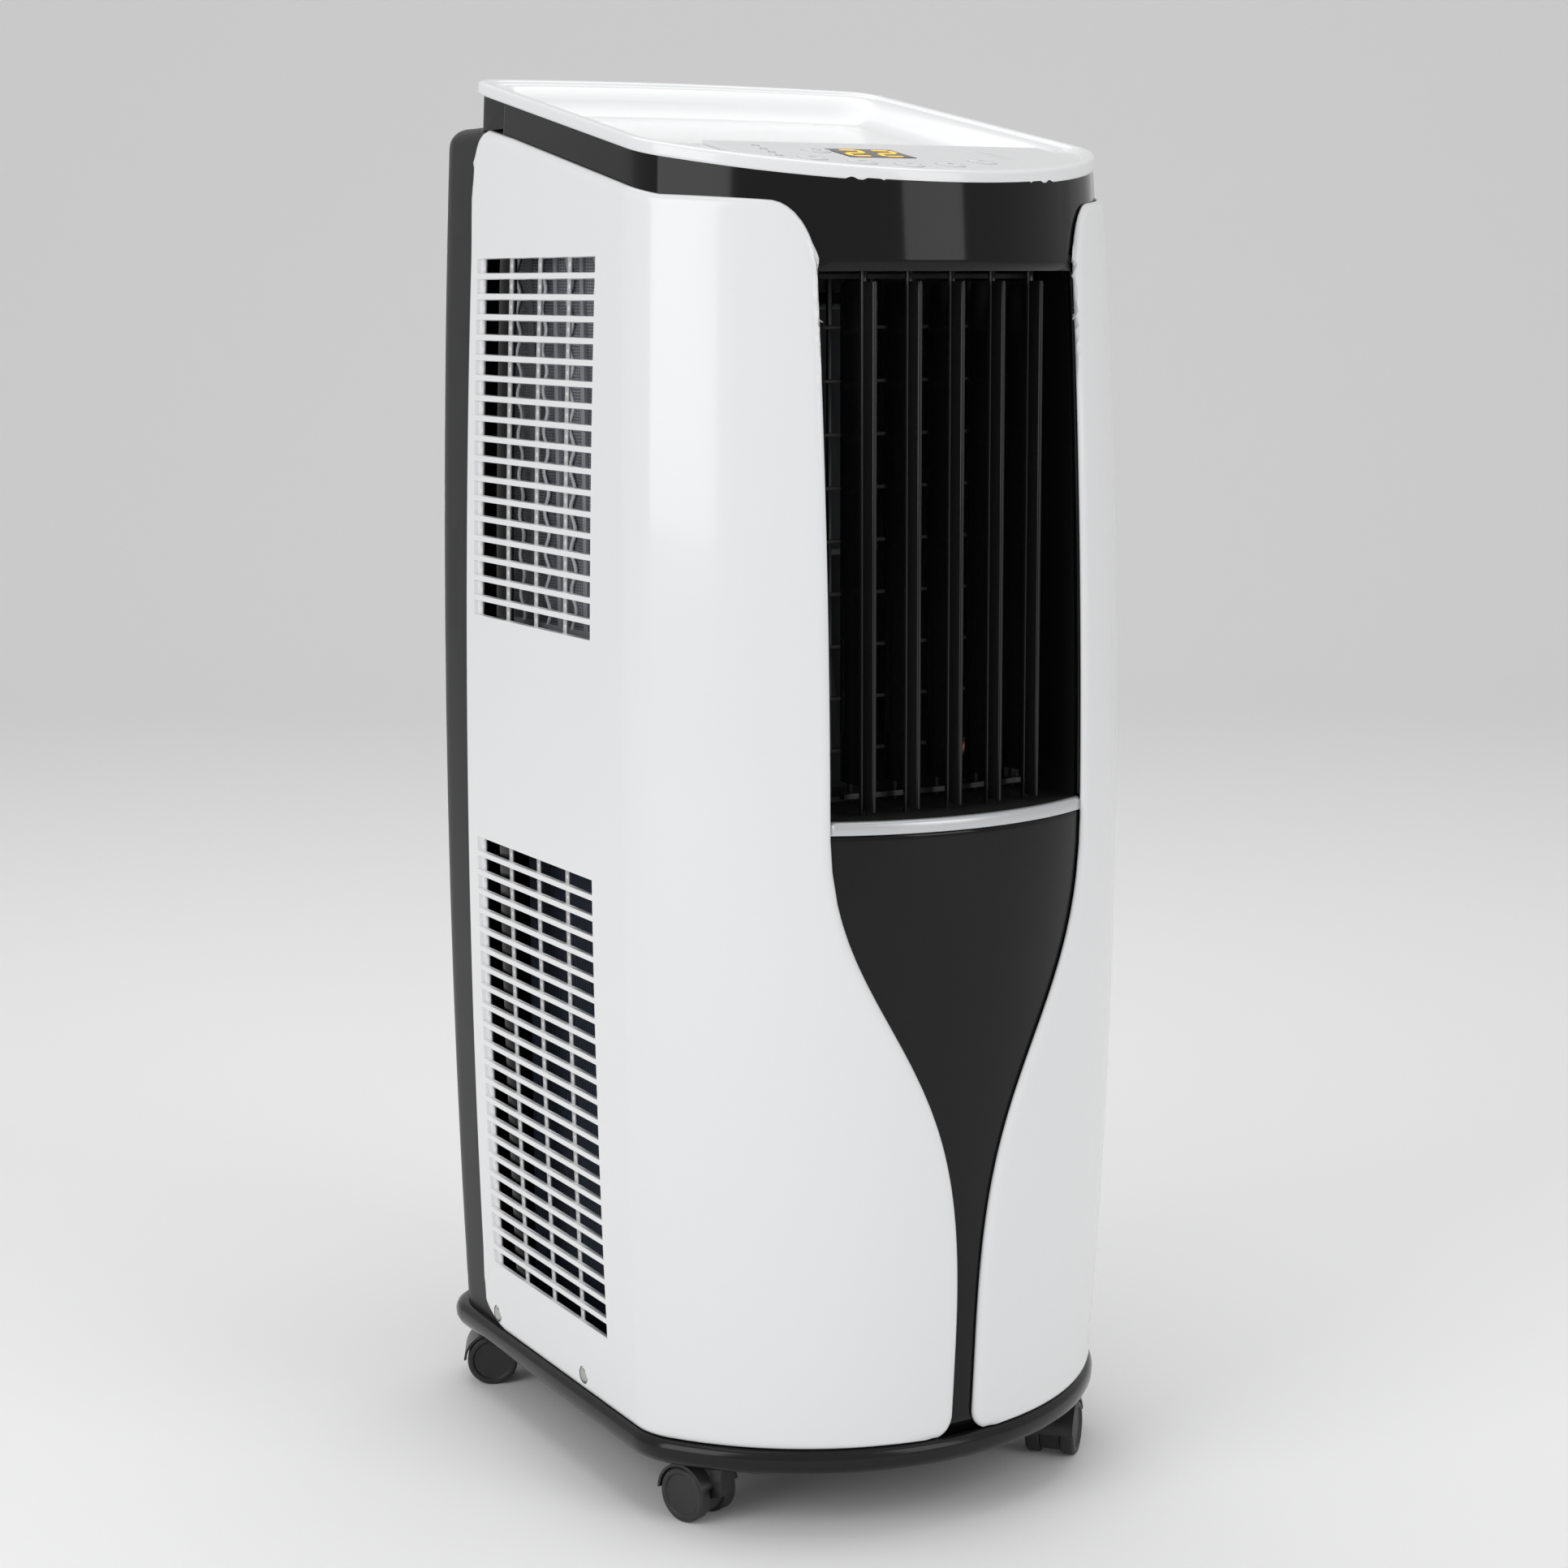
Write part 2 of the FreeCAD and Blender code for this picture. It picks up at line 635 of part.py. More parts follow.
window_rise = mm("lid_edge") - 2
node(feature("display_window", lid_block(
    mm("window_x"), mm("window_y"), mm("window_wide"), mm("window_deep"),
    window_rise, window_rise + mm("panel_thick") + 0.1)), "display_window")


def make_button(label, x, y):
    """A round push button standing 0.4 proud of the plate, with room to travel beneath it."""
    obj = doc.addObject("Part::Cylinder", "button_" + label)
    obj.Placement = Placement(on_lid(x, y, mm("lid_edge") - 1.2), LID_FRAME.Rotation)
    bind(obj, Radius="Sizes.button_radius", Height="Sizes.panel_thick - 0.4")
    return node(obj, "button_" + label)


for label, place in BUTTONS.items():
    make_button(label, *place)

node(feature("control_board", lid_block(-20, -128, 120, 40, -9.0, -7.2)), "control_board")

# ---------------------------------------------------------------- casters

CORNERS = ("front_left", "front_right", "rear_left", "rear_right")


def turned(body, place, heading, ahead, level):
    """Turns a caster piece to its heading, a distance ahead of its stem, at a level."""
    spin = Rotation(Vector(0, 0, 1), heading)
    body.Placement = Placement(Vector(*place, level) + spin.multVec(Vector(0, ahead, 0)), spin)


def pocket(body, sketch, length):
    """Cuts a sketch's area away along its plane's normal."""
    obj = body.newObject("PartDesign::Pocket", sketch.Name + "_pocket")
    obj.Profile = sketch
    obj.setExpression("Length", str(length))
    obj.Reversed = True


def make_caster_fork(label, place, heading):
    """Shroud over both wheels, web between them, neck and stem; the wheels trail the stem."""
    body = new_body("caster_fork_" + label)
    trail = "Sizes.caster_trail"
    axle = "Sizes.wheel_radius"
    half = "Sizes.hood_wide / 2 + Sizes.wheel_wide + 0.4"
    shroud = sketch_on(body, label + "_shroud", "YZ_Plane", "-(%s)" % half)
    circle_in(shroud, trail, axle, "Sizes.hood_radius + 1")
    circle_in(shroud, trail, axle, "Sizes.hood_radius - 0.5")
    pad(body, shroud, "2 * (%s)" % half)
    open_side = sketch_on(body, label + "_open", "YZ_Plane", "-(%s) - 1" % half)
    ring_of_points(open_side, [
        ("-10", "-5"), (trail + " + 22", "-5"), (trail + " + 22", axle + " - 1"),
        (trail + " + 12", axle + " + 2"), ("-10", axle + " + 7")])
    pocket(body, open_side, "2 * (%s) + 2" % half)
    web = sketch_on(body, label + "_web", "YZ_Plane", "-Sizes.hood_wide / 2")
    circle_in(web, trail, axle, "Sizes.hood_radius - 3")
    pad(body, web, "Sizes.hood_wide")
    neck = sketch_on(body, label + "_neck", "YZ_Plane", "-Sizes.hood_wide / 2")
    ring_of_points(neck, [
        ("-Sizes.stem_radius - 2.5", axle + " + 2"), (trail, axle + " - 6"),
        (trail + " + 9", axle + " + 5"), (trail + " + 5", axle + " * 2 + 1.5"),
        ("2", "Sizes.tray_bottom - 1"), ("-Sizes.stem_radius - 2.5", "Sizes.tray_bottom - 1")])
    pad(body, neck, "Sizes.hood_wide")
    stem = sketch_on(body, label + "_stem", "XY_Plane", axle + " + 5")
    circle_in(stem, "0", "0", "Sizes.stem_radius")
    pad(body, stem, "Sizes.stem_top - %s - 5" % axle)
    bore = sketch_on(body, label + "_bore", "YZ_Plane", "-Sizes.hood_wide")
    circle_in(bore, trail, axle, "Sizes.caster_axle + Sizes.caster_fit")
    pocket(body, bore, "Sizes.hood_wide * 2")
    turned(body, place, heading, 0, 0)


def make_caster_wheels(label, place, heading):
    """Two wheels with dished faces on one axle, turned as a spool about the axle."""
    body = new_body("caster_wheels_" + label)
    half = sketch_on(body, label + "_spool", "XY_Plane")
    inner = "(Sizes.hood_wide / 2 + 0.4)"
    outer = "(Sizes.hood_wide / 2 + 0.4 + Sizes.wheel_wide)"
    rim = "Sizes.wheel_radius"
    right = [
        (inner, "Sizes.caster_axle"), (inner, rim + " - 1"), (inner + " + 1", rim),
        (outer + " - 1", rim), (outer, rim + " - 1"), (outer, rim + " - 3"),
        (outer + " - 1.2", rim + " - 4"), (outer + " - 1.2", "0"),
    ]
    left = [("-(%s)" % across, upward) for across, upward in reversed(right)]
    ring_of_points(half, left + right)
    revolve(body, half, "H_Axis")
    turned(body, place, heading, mm("caster_trail"), mm("wheel_radius"))


for corner, place in zip(CORNERS, caster_places()):
    heading = mm("heading_" + corner)
    make_caster_fork(corner, place, heading)
    make_caster_wheels(corner, place, heading)

# ---------------------------------------------------------------- outlet: duct, guard, louvres

PIVOT_Y = -mm("blade_front") + mm("blade_nose")


def blade_places():
    """Five upright pivots on a shallow arc, centre blade first."""
    pitch = mm("blade_pitch")
    return [(step * pitch, PIVOT_Y + (step * pitch) ** 2 / (2 * mm("blade_arc"))) for step in range(-2, 3)]


def make_air_duct():
    """A box-section duct behind the outlet, with bearing holes for the louvres' pivots."""
    wall = mm("duct_wall")
    half = half_outlet - 0.4
    low = mm("outlet_bottom") - 0.8
    high = mm("outlet_top") + 0.5
    tube = slab((-half, -FAR, low - wall), (half, mm("duct_rear"), high + wall))
    tube = tube.cut(slab((-half + wall, -FAR, low), (half - wall, -60, high)))
    holes = [Part.makeCylinder(mm("pivot_radius") + mm("pivot_fit"), 300, Vector(x, y, low - 10))
             for x, y in blade_places()]
    return tube.common(barrel(lining - 0.3)).cut(holes).removeSplitter()


node(feature("air_duct", make_air_duct()), "air_duct")


def make_outlet_guard():
    """A moulded grid across the duct: nine level bars and five uprights in a thin frame."""
    half = half_outlet - 3
    low = mm("outlet_bottom") + 1
    high = mm("outlet_top") - 1
    front = -131
    deep = 3
    bars = [slab((-half, front, low), (half, front + deep, low + 3)),
            slab((-half, front, high - 3), (half, front + deep, high)),
            slab((-half, front, low), (-half + 3, front + deep, high)),
            slab((half - 3, front, low), (half, front + deep, high))]
    count = 10
    step = (high - low) / count
    for level in range(1, count):
        middle = low + step * level
        bars.append(slab((-half, front, middle - 1), (half, front + deep, middle + 1)))
    for column in range(1, 6):
        middle = -half + 2 * half * column / 6
        bars.append(slab((middle - 1, front + 0.5, low), (middle + 1, front + deep, high)))
    return bars[0].fuse(bars[1:]).removeSplitter()


node(feature("outlet_guard", make_outlet_guard()), "outlet_guard")
foam_corner = ("Sizes.outlet_half - 4.9", -122, "Sizes.outlet_bottom + 2")
node(box("duct_foam", foam_corner, (2.4, 12, 122)), "duct_foam")


def make_blade(number, x, y):
    """One upright louvre: lens-shaped blade on a pivot rod, with a crank pin at its notched foot."""
    label = "louver_blade_%d" % number
    body = new_body(label)
    nose = "-Sizes.blade_nose"
    tail = "Sizes.blade_chord - Sizes.blade_nose"
    half = "Sizes.blade_thick / 2"

    def lens(end):
        return [("-0.5", nose), ("0.5", nose), (half, nose + " + 5"), (half, end + " - 4"),
                ("0.5", end), ("-0.5", end), ("-" + half, end + " - 4"), ("-" + half, nose + " + 5")]

    upper = sketch_on(body, label + "_upper", "XY_Plane", "Sizes.blade_bottom + 12")
    ring_of_points(upper, lens(tail))
    pad(body, upper, "Sizes.blade_top - Sizes.blade_bottom - 12")
    foot = sketch_on(body, label + "_foot", "XY_Plane", "Sizes.blade_bottom")
    ring_of_points(foot, lens("3"))
    pad(body, foot, "12")
    rod = sketch_on(body, label + "_rod", "XY_Plane", "Sizes.outlet_bottom - 2.6")
    circle_in(rod, "0", "0", "Sizes.pivot_radius")
    pad(body, rod, "Sizes.outlet_top - Sizes.outlet_bottom + 4.9")
    pin = sketch_on(body, label + "_pin", "XY_Plane", "Sizes.blade_bottom + 2.5")
    circle_in(pin, "0", "Sizes.crank_back", "Sizes.crank_pin")
    pad(body, pin, "10")
    body.Placement = Placement(Vector(x, y, 0), Rotation())


for number, (x, y) in enumerate(blade_places(), start=1):
    make_blade(number, x, y)


def make_link_bar():
    """A flat bar bent to the pivots' arc, with a hole for each of the five crank pins."""
    low = mm("blade_bottom") + 4
    half = 2.6
    ends = 5
    pins = [(x, y + mm("crank_back")) for x, y in blade_places()]
    spine = [(pins[0][0] - ends, pins[0][1])] + pins + [(pins[-1][0] + ends, pins[-1][1])]
    front = [Vector(x, y - half, low) for x, y in spine]
    back = [Vector(x, y + half, low) for x, y in reversed(spine)]
    plan = Part.Face(Part.makePolygon(front + back + front[:1]))
    bar = plan.extrude(Vector(0, 0, mm("link_thick")))
    bore = mm("crank_pin") + mm("pivot_fit")
    return bar.cut([Part.makeCylinder(bore, 20, Vector(x, y, low - 5)) for x, y in pins])


node(feature("louver_link_bar", make_link_bar()), "louver_link_bar")
motor_top = mm("outlet_bottom") - 0.8 - mm("duct_wall") - 0.3
node(cylinder("swing_motor", (0, PIVOT_Y, motor_top - 19), 14, 19), "swing_motor")

# ---------------------------------------------------------------- cooling circuit

def coil_pair(label, low, high, tubes):
    """Two finned slabs, one each side, with hairpin bends at the rear and a link along the top."""
    inner = mm("coil_inner")
    thick = mm("coil_thick")
    front = mm("coil_front")
    rear = mm("coil_rear")
    solids = []
    for side in (1, -1):
        near = side * inner if side > 0 else -inner - thick
        block = slab((near, front, low), (near + thick, rear, high))
        middle = near + thick / 2
        step = (high - low) / tubes
        for number in range(tubes):
            level = low + step * (number + 0.5)
            bend = Part.makeTorus(step * 0.25, 3, Vector(middle, rear, level), Vector(1, 0, 0))
            block = block.fuse(bend)
        solids.append(block)
    return Part.makeCompound(solids)


node(feature("evaporator_coil", coil_pair("evaporator", mm("upper_coil_low"), mm("upper_coil_top"), 10)),
     "evaporator_coil")
node(feature("condenser_coil", coil_pair("condenser", mm("lower_coil_low"), mm("lower_coil_top"), 9)),
     "condenser_coil")


def make_partition():
    """The tray between the cold and the hot chamber: floor, low upstand, drain and pipe holes."""
    low = mm("partition_low")
    thick = mm("partition_thick")
    plate = barrel(lining - 0.5).common(slab((-FAR, -186, low), (FAR, 168, low + 12)))
    hollow = barrel(lining - 3).common(slab((-FAR, -182, low + thick), (FAR, 165, low + 20)))
    holes = [Part.makeCylinder(radius, 20, Vector(x, y, low - 5))
             for x, y, radius in ((-60, 110, 4), (*SUCTION_PLACE, 8), (*CAPILLARY_PLACE, 4))]
    return plate.cut([hollow] + holes)


SUCTION_PLACE = (72, -66)
CAPILLARY_PLACE = (-102, -66)
node(feature("partition_tray", make_partition()), "partition_tray")


def make_compressor():
    """A rotary compressor can: domed both ends, welded foot plate, terminal cup on the lid."""
    radius = mm("compressor_radius")
    low = mm("compressor_low")
    tall = mm("compressor_tall")
    place = Vector(0, mm("compressor_y"), low)
    can = Part.makeCylinder(radius, tall, place)
    can = can.makeFillet(16, [e for e in can.Edges if e.Curve.TypeId == "Part::GeomCircle"])
    plate = Part.makeCylinder(radius + 19, 3, place).common(
        slab((-FAR, mm("compressor_y") - 45, 0), (FAR, FAR, FAR)))
    feet = [Part.makeCylinder(4.5, 10, Vector(x, y, low - 2)) for x, y in compressor_feet_places()]
    cap = Part.makeCylinder(15, 16, place + Vector(14, 0, tall - 2))
    return can.fuse([plate, cap]).cut(feet).removeSplitter()


node(feature("compressor", make_compressor()), "compressor")


def make_compressor_feet():
    """Three rubber grommets that carry the foot plate on the tray's studs."""
    floor = mm("tray_bottom") + mm("tray_floor")
    low = mm("compressor_low")
    feet = []
    for x, y in compressor_feet_places():
        lower = Part.makeCylinder(9, low - floor, Vector(x, y, floor))
        neck = Part.makeCylinder(4.4, 3, Vector(x, y, low))
        cap = Part.makeCylinder(7, 3, Vector(x, y, low + 3))
        stud = Part.makeCylinder(4.05, 3.2, Vector(x, y, floor - 0.1))
        feet.append(lower.fuse([neck, cap]).cut(stud))
    return Part.makeCompound(feet)


node(feature("compressor_feet", make_compressor_feet()), "compressor_feet")


ACCUMULATOR_PLACE = (72, -112)


def make_accumulator():
    """The suction accumulator: a slim can beside the compressor."""
    can = Part.makeCylinder(20, 120, Vector(*ACCUMULATOR_PLACE, 100))
    return can.makeFillet(9, [e for e in can.Edges if e.Curve.TypeId == "Part::GeomCircle"])


node(feature("accumulator", make_accumulator()), "accumulator")


def tube(points, radius, bend):
    """A round pipe: straight runs joined by tangent arcs of one bend radius."""
    corners = [Vector(*point) for point in points]
    edges = []
    start = corners[0]
    for before, corner, after in zip(corners, corners[1:], corners[2:]):
        back = (before - corner).normalize()
        ahead = (after - corner).normalize()
        half_turn = (math.pi - back.getAngle(ahead)) / 2
        reach = bend * math.tan(half_turn)
        middle = corner + (back + ahead).normalize() * (bend / math.cos(half_turn) - bend)
        edges.append(Part.LineSegment(start, corner + back * reach).toShape())
        edges.append(Part.Arc(corner + back * reach, middle, corner + ahead * reach).toShape())
        start = corner + ahead * reach
    edges.append(Part.LineSegment(start, corners[-1]).toShape())
    disc = Part.Wire(Part.makeCircle(radius, corners[0], corners[1] - corners[0]))
    return Part.Wire(edges).makePipeShell([disc], True, False)


def make_refrigerant_pipes():
    """Copper lines: discharge, suction, the accumulator's outlet and the capillary."""
    top = mm("compressor_low") + mm("compressor_tall")
    middle = mm("compressor_y")
    coil = mm("coil_front") - 0.2
    reach = mm("coil_inner") + mm("coil_thick") / 2
    discharge = tube([(-26, middle, top), (-26, middle, top + 40), (-reach, middle, top + 40),
                      (-reach, coil, top + 40)], 4, 12)
    x, y = SUCTION_PLACE
    suction = tube([(*ACCUMULATOR_PLACE, 220), (*ACCUMULATOR_PLACE, 300), (x, y, 300), (x, y, 400),
                    (reach, y, 400), (reach, coil, 400)], 5, 12)
    start = Vector(*ACCUMULATOR_PLACE, 84)
    axis = Vector(0, middle, 84)
    stub = axis + (start - axis).normalize() * (mm("compressor_radius") + 0.3)
    outlet = tube([(*ACCUMULATOR_PLACE, 100), start, stub], 4, 9)
    x, y = CAPILLARY_PLACE
    capillary = tube([(x, coil, 120), (x, y, 120), (x, y, 380), (x, coil, 380)], 1.5, 6)
    return Part.makeCompound([discharge, suction, outlet, capillary])


# ---------------------------------------------------------------- fans and motors

def make_tower_fan():
    """The cold-side blower: a tall squirrel cage between two discs on a shaft."""
    radius = mm("fan_radius")
    low = mm("fan_low")
    tall = mm("fan_tall")
    middle = mm("fan_centre_y")
    count = int(mm("fan_blades"))
    discs = [Part.makeCylinder(radius, 3, Vector(0, middle, low)),
             Part.makeCylinder(radius, 3, Vector(0, middle, low + tall / 2)),
             Part.makeCylinder(radius, 3, Vector(0, middle, low + tall - 3)),
             Part.makeCylinder(4, tall + 20, Vector(0, middle, low - 10))]
    blades = []
    for number in range(count):
        blade = Part.makeBox(1.6, 15, tall - 1, Vector(-0.8, radius - 16, low + 0.5))
        blade.rotate(Vector(0, radius - 8, 0), Vector(0, 0, 1), 28)
        blade.translate(Vector(0, middle, 0))
        blade.rotate(Vector(0, middle, 0), Vector(0, 0, 1), 360.0 * number / count)
        blades.append(blade)
    return discs[0].fuse(discs[1:] + blades)


def make_drum_fan():
    """The hot-side fan: a hub disc with curved vanes that push air towards the exhaust."""
    centre = Vector(0, mm("drum_front") + 34, mm("exhaust_z"))
    hub = Part.makeCylinder(22, 34, centre, Vector(0, 1, 0))
    disc = Part.makeCylinder(70, 3, centre, Vector(0, 1, 0))
    vanes = []
    for number in range(11):
        vane = Part.makeBox(3, 34, 49, centre + Vector(-1.5, 0, 20))
        vane.rotate(centre, Vector(0, 1, 0), 360.0 * number / 11)
        vanes.append(vane)
    shaft = Part.makeCylinder(4, 37, centre, Vector(0, -1, 0))
    return hub.fuse([disc, shaft] + vanes)


def make_drum():
    """The hot-side fan's drum: open inlet ring at the front, outlet ring joined to the exhaust."""
    centre = Vector(0, mm("drum_front"), mm("exhaust_z"))
    length = mm("drum_rear") - mm("drum_front")
    radius = mm("drum_radius")
    drum = Part.makeCylinder(radius, length, centre, Vector(0, 1, 0))
    hollow = Part.makeCylinder(radius - 3, length - 6, centre + Vector(0, 3, 0), Vector(0, 1, 0))
    inlet = Part.makeCylinder(56, 10, centre + Vector(0, -1, 0), Vector(0, 1, 0))
    outlet = Part.makeCylinder(mm("exhaust_radius"), 10, centre + Vector(0, length - 6, 0), Vector(0, 1, 0))
    return drum.cut([hollow, inlet, outlet])


def make_exhaust_collar():
    """The round outlet for the hose: a tube from the drum out through the rear wall, with a flange."""
    radius = mm("exhaust_radius")
    start = Vector(0, mm("drum_rear"), mm("exhaust_z"))
    length = 191.5 - mm("drum_rear")
    pipe = Part.makeCylinder(radius + 3, length, start, Vector(0, 1, 0))
    flange = Part.makeCylinder(radius + 12, 3, start + Vector(0, length - 3, 0), Vector(0, 1, 0))
    bore = Part.makeCylinder(radius, length + 2, start + Vector(0, -1, 0), Vector(0, 1, 0))
    return pipe.fuse(flange).cut(bore)


node(feature("refrigerant_pipes", make_refrigerant_pipes()), "refrigerant_pipes")
node(feature("evaporator_fan", make_tower_fan()), "evaporator_fan")
node(feature("condenser_fan", make_drum_fan()), "condenser_fan")
node(feature("condenser_fan_housing", make_drum()), "condenser_fan_housing")
node(feature("exhaust_collar", make_exhaust_collar()), "exhaust_collar")
fan_top = "Sizes.fan_low + Sizes.fan_tall"
node(cut("evaporator_fan_motor",
         cylinder("cold_motor_can", (0, "Sizes.fan_centre_y", fan_top + " + 6"), 42, 40),
         [cylinder("cold_motor_bore", (0, "Sizes.fan_centre_y", fan_top + " + 5"), 4.06, 14)]),
     "evaporator_fan_motor")
node(cut("condenser_fan_motor",
         cylinder("hot_motor_can", (0, "Sizes.drum_front - 44", "Sizes.exhaust_z"), 36, 42, "y"),
         [cylinder("hot_motor_bore", (0, "Sizes.drum_front - 16", "Sizes.exhaust_z"), 4.06, 20, "y")]),
     "condenser_fan_motor")
node(cut("splash_motor",
         join("splash_motor_on_foot", [
             cylinder("splash_motor_can", (30, 62, 72), 16, 30, "x"),
             box("splash_motor_foot", (32, 50, 40), (26, 24, 18))]),
         [cylinder("splash_motor_bore", (50, 62, 72), 2.56, 20, "x")]),
     "splash_motor")
node(join("splash_wheel", [
    cylinder("splash_disc", (66, 62, 72), 26, 4, "x"),
    cylinder("splash_shaft", (52, 62, 72), 2.5, 16, "x")]), "splash_wheel")

# ---------------------------------------------------------------- filters, drains, electrics

def make_filter(side):
    """A washable side filter: thin frame with ribs, a fine mesh skin and a pull tab at its rear end."""
    inner = mm("filter_inner")
    thick = mm("filter_thick")
    front = mm("filter_front")
    rear = mm("filter_rear")
    low = mm("upper_coil_low") + 102
    high = low + 210
    frame = slab((inner, front, low), (inner + thick, rear, high))
    bays = []
    columns = 5
    step = (rear - front - 4) / columns
    for column in range(columns):
        start = front + 4 + step * column
        bays.append(slab((inner + 0.8, start, low + 4), (inner + 9, start + step - 4, high - 4)))
    tab = slab((inner, rear - 1, low + 90), (inner + thick, rear + 10, low + 120))
    shape = frame.cut(bays).fuse(tab)
    return shape if side > 0 else shape.mirror(Vector(), Vector(1, 0, 0))


node(feature("filter_left", make_filter(-1)), "filter_left")
node(feature("filter_right", make_filter(1)), "filter_right")


def make_spigot(z):
    """A drain spigot: flange inside the rear wall, a short barbed pipe through it."""
    start = Vector(mm("drain_x"), 172, z)
    pipe = Part.makeCylinder(7, 19.5, start, Vector(0, 1, 0))
    flange = Part.makeCylinder(10, 2.5, start, Vector(0, 1, 0))
    return pipe.fuse(flange).cut(Part.makeCylinder(5, 30, start + Vector(0, -2, 0), Vector(0, 1, 0)))


def make_drain_cap(z):
    """A rubber plug in the spigot's bore with a round grip outside."""
    plug = Part.makeCylinder(4.95, 8.5, Vector(mm("drain_x"), 183.5, z), Vector(0, 1, 0))
    grip = Part.makeCylinder(8, 2, Vector(mm("drain_x"), 191.6, z), Vector(0, 1, 0))
    return plug.fuse(grip)


spigots = [make_spigot(mm("drain_low")), make_spigot(mm("drain_high"))]
node(feature("drain_spigots", Part.makeCompound(spigots)), "drain_spigots")
node(feature("drain_cap_lower", make_drain_cap(mm("drain_low"))), "drain_cap_lower")
node(feature("drain_cap_upper", make_drain_cap(mm("drain_high"))), "drain_cap_upper")

node(box("electrical_box", (-66, 96, 560), (120, 48, 70)), "electrical_box")


def make_cord_hooks():
    """Two rounded hooks on the rear wall to wind the lead round, clear of the filters' way out."""
    hooks = []
    for x in (-mm("hook_x"), mm("hook_x")):
        wall = 178.5
        post = slab((x - 9, wall, 583), (x + 9, 191, 603))
        lip = slab((x - 12, 187.5, 578), (x + 12, 194, 608))
        hook = post.fuse(lip).removeSplitter()
        rounded = [e for e in hook.Edges if e.BoundBox.YMin > 187 and abs(e.Length - 6.5) < 0.1]
        hooks.append(hook.makeFillet(5, rounded))
    return Part.makeCompound(hooks).cut(barrel(inset + 0.05))


node(feature("cord_hooks", make_cord_hooks()), "cord_hooks")
node(cut("cord_gland",
         join("cord_gland_body", [
             cylinder("gland_neck", (70, 176, 84), 6, 15, "y"),
             cylinder("gland_flange", (70, 187.6, 84), 9.5, 3, "y")]),
         [cylinder("gland_bore", (70, 170, 84), 3.6, 30, "y")]),
     "cord_gland")


def make_case_screws():
    """Pan-head screws: four in the side panels' recessed seats and six in the rear housing."""
    screws = []
    for y, z in screw_places():
        outer = casing_half(z, y)
        for side in (1, -1):
            head = Part.makeCylinder(4, 1.2, Vector(side * (outer - 0.75), y, z), Vector(-side, 0, 0))
            shank = Part.makeCylinder(2.1, 3, Vector(side * (outer - 0.8), y, z), Vector(-side, 0, 0))
            screws.append(head.fuse(shank))
    for x, z in rear_screw_places():
        centre = mm("rear_apex") - mm("frame_inset") - x * x / (2 * mm("rear_radius"))
        seat_face = centre + 0.6 if z < mm("ledge_top") - 20 else centre
        head = Part.makeCylinder(3.4, 1.4, Vector(x, seat_face, z), Vector(0, 1, 0))
        shank = Part.makeCylinder(1.7, 9, Vector(x, seat_face - 8, z), Vector(0, 1, 0))
        screws.append(head.fuse(shank))
    return Part.makeCompound(screws)


node(feature("case_screws", make_case_screws()), "case_screws")


def make_float_arm():
    """The tray's level float: a rounded block on a short arm about a level pin."""
    arm = slab((-40, 128, 58), (-36, 166, 61))
    block = slab((-50, 150, 50), (-26, 170, 58))
    pin = Part.makeCylinder(2, 14, Vector(-45, 128, 59.5), Vector(1, 0, 0))
    return arm.fuse([block, pin])


node(feature("float_arm", make_float_arm()), "float_arm")

# ---------------------------------------------------------------- checks and files

doc.recompute()
for obj in doc.Objects:
    for state in obj.State:
        if state in ("Invalid", "Error"):
            raise RuntimeError("%s is %s" % (obj.Label, state))
for piece in NODES:
    if piece.Shape.isNull() or not piece.Shape.isValid():
        raise RuntimeError("%s has no valid shape" % piece.Label)
    piece.Shape.exportStep("parts/%s.step" % piece.Label)
print("%d nodes written" % len(NODES))
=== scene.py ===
import math

import bmesh
import bpy
import numpy as np
from mathutils import Matrix, Vector


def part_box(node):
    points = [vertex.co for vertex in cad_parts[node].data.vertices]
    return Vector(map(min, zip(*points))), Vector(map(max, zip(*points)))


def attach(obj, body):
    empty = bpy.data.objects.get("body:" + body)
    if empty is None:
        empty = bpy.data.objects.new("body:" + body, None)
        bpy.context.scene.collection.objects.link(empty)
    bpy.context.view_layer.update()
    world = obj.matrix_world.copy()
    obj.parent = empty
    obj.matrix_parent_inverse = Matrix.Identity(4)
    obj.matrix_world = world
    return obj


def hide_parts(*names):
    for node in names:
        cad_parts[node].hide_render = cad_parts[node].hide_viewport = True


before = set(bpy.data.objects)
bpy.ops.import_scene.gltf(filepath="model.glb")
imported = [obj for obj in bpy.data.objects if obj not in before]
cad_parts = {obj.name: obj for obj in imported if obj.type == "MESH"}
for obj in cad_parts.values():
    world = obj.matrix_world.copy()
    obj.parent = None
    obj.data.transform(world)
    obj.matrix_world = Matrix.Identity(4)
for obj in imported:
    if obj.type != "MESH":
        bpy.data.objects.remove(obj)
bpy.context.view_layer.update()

# ------------------------------------------------------------------ white side panels
# Two injection-moulded shells of gloss white plastic clip over the black chassis from the sides.
# They meet the front in a goblet-shaped gap, and each has two fields of intake slots whose
# upright bars sit a little below the face.  Every edge rolls in over five millimetres.

BARREL_MIDDLE, BARREL_REACH = 370.0, 325.0


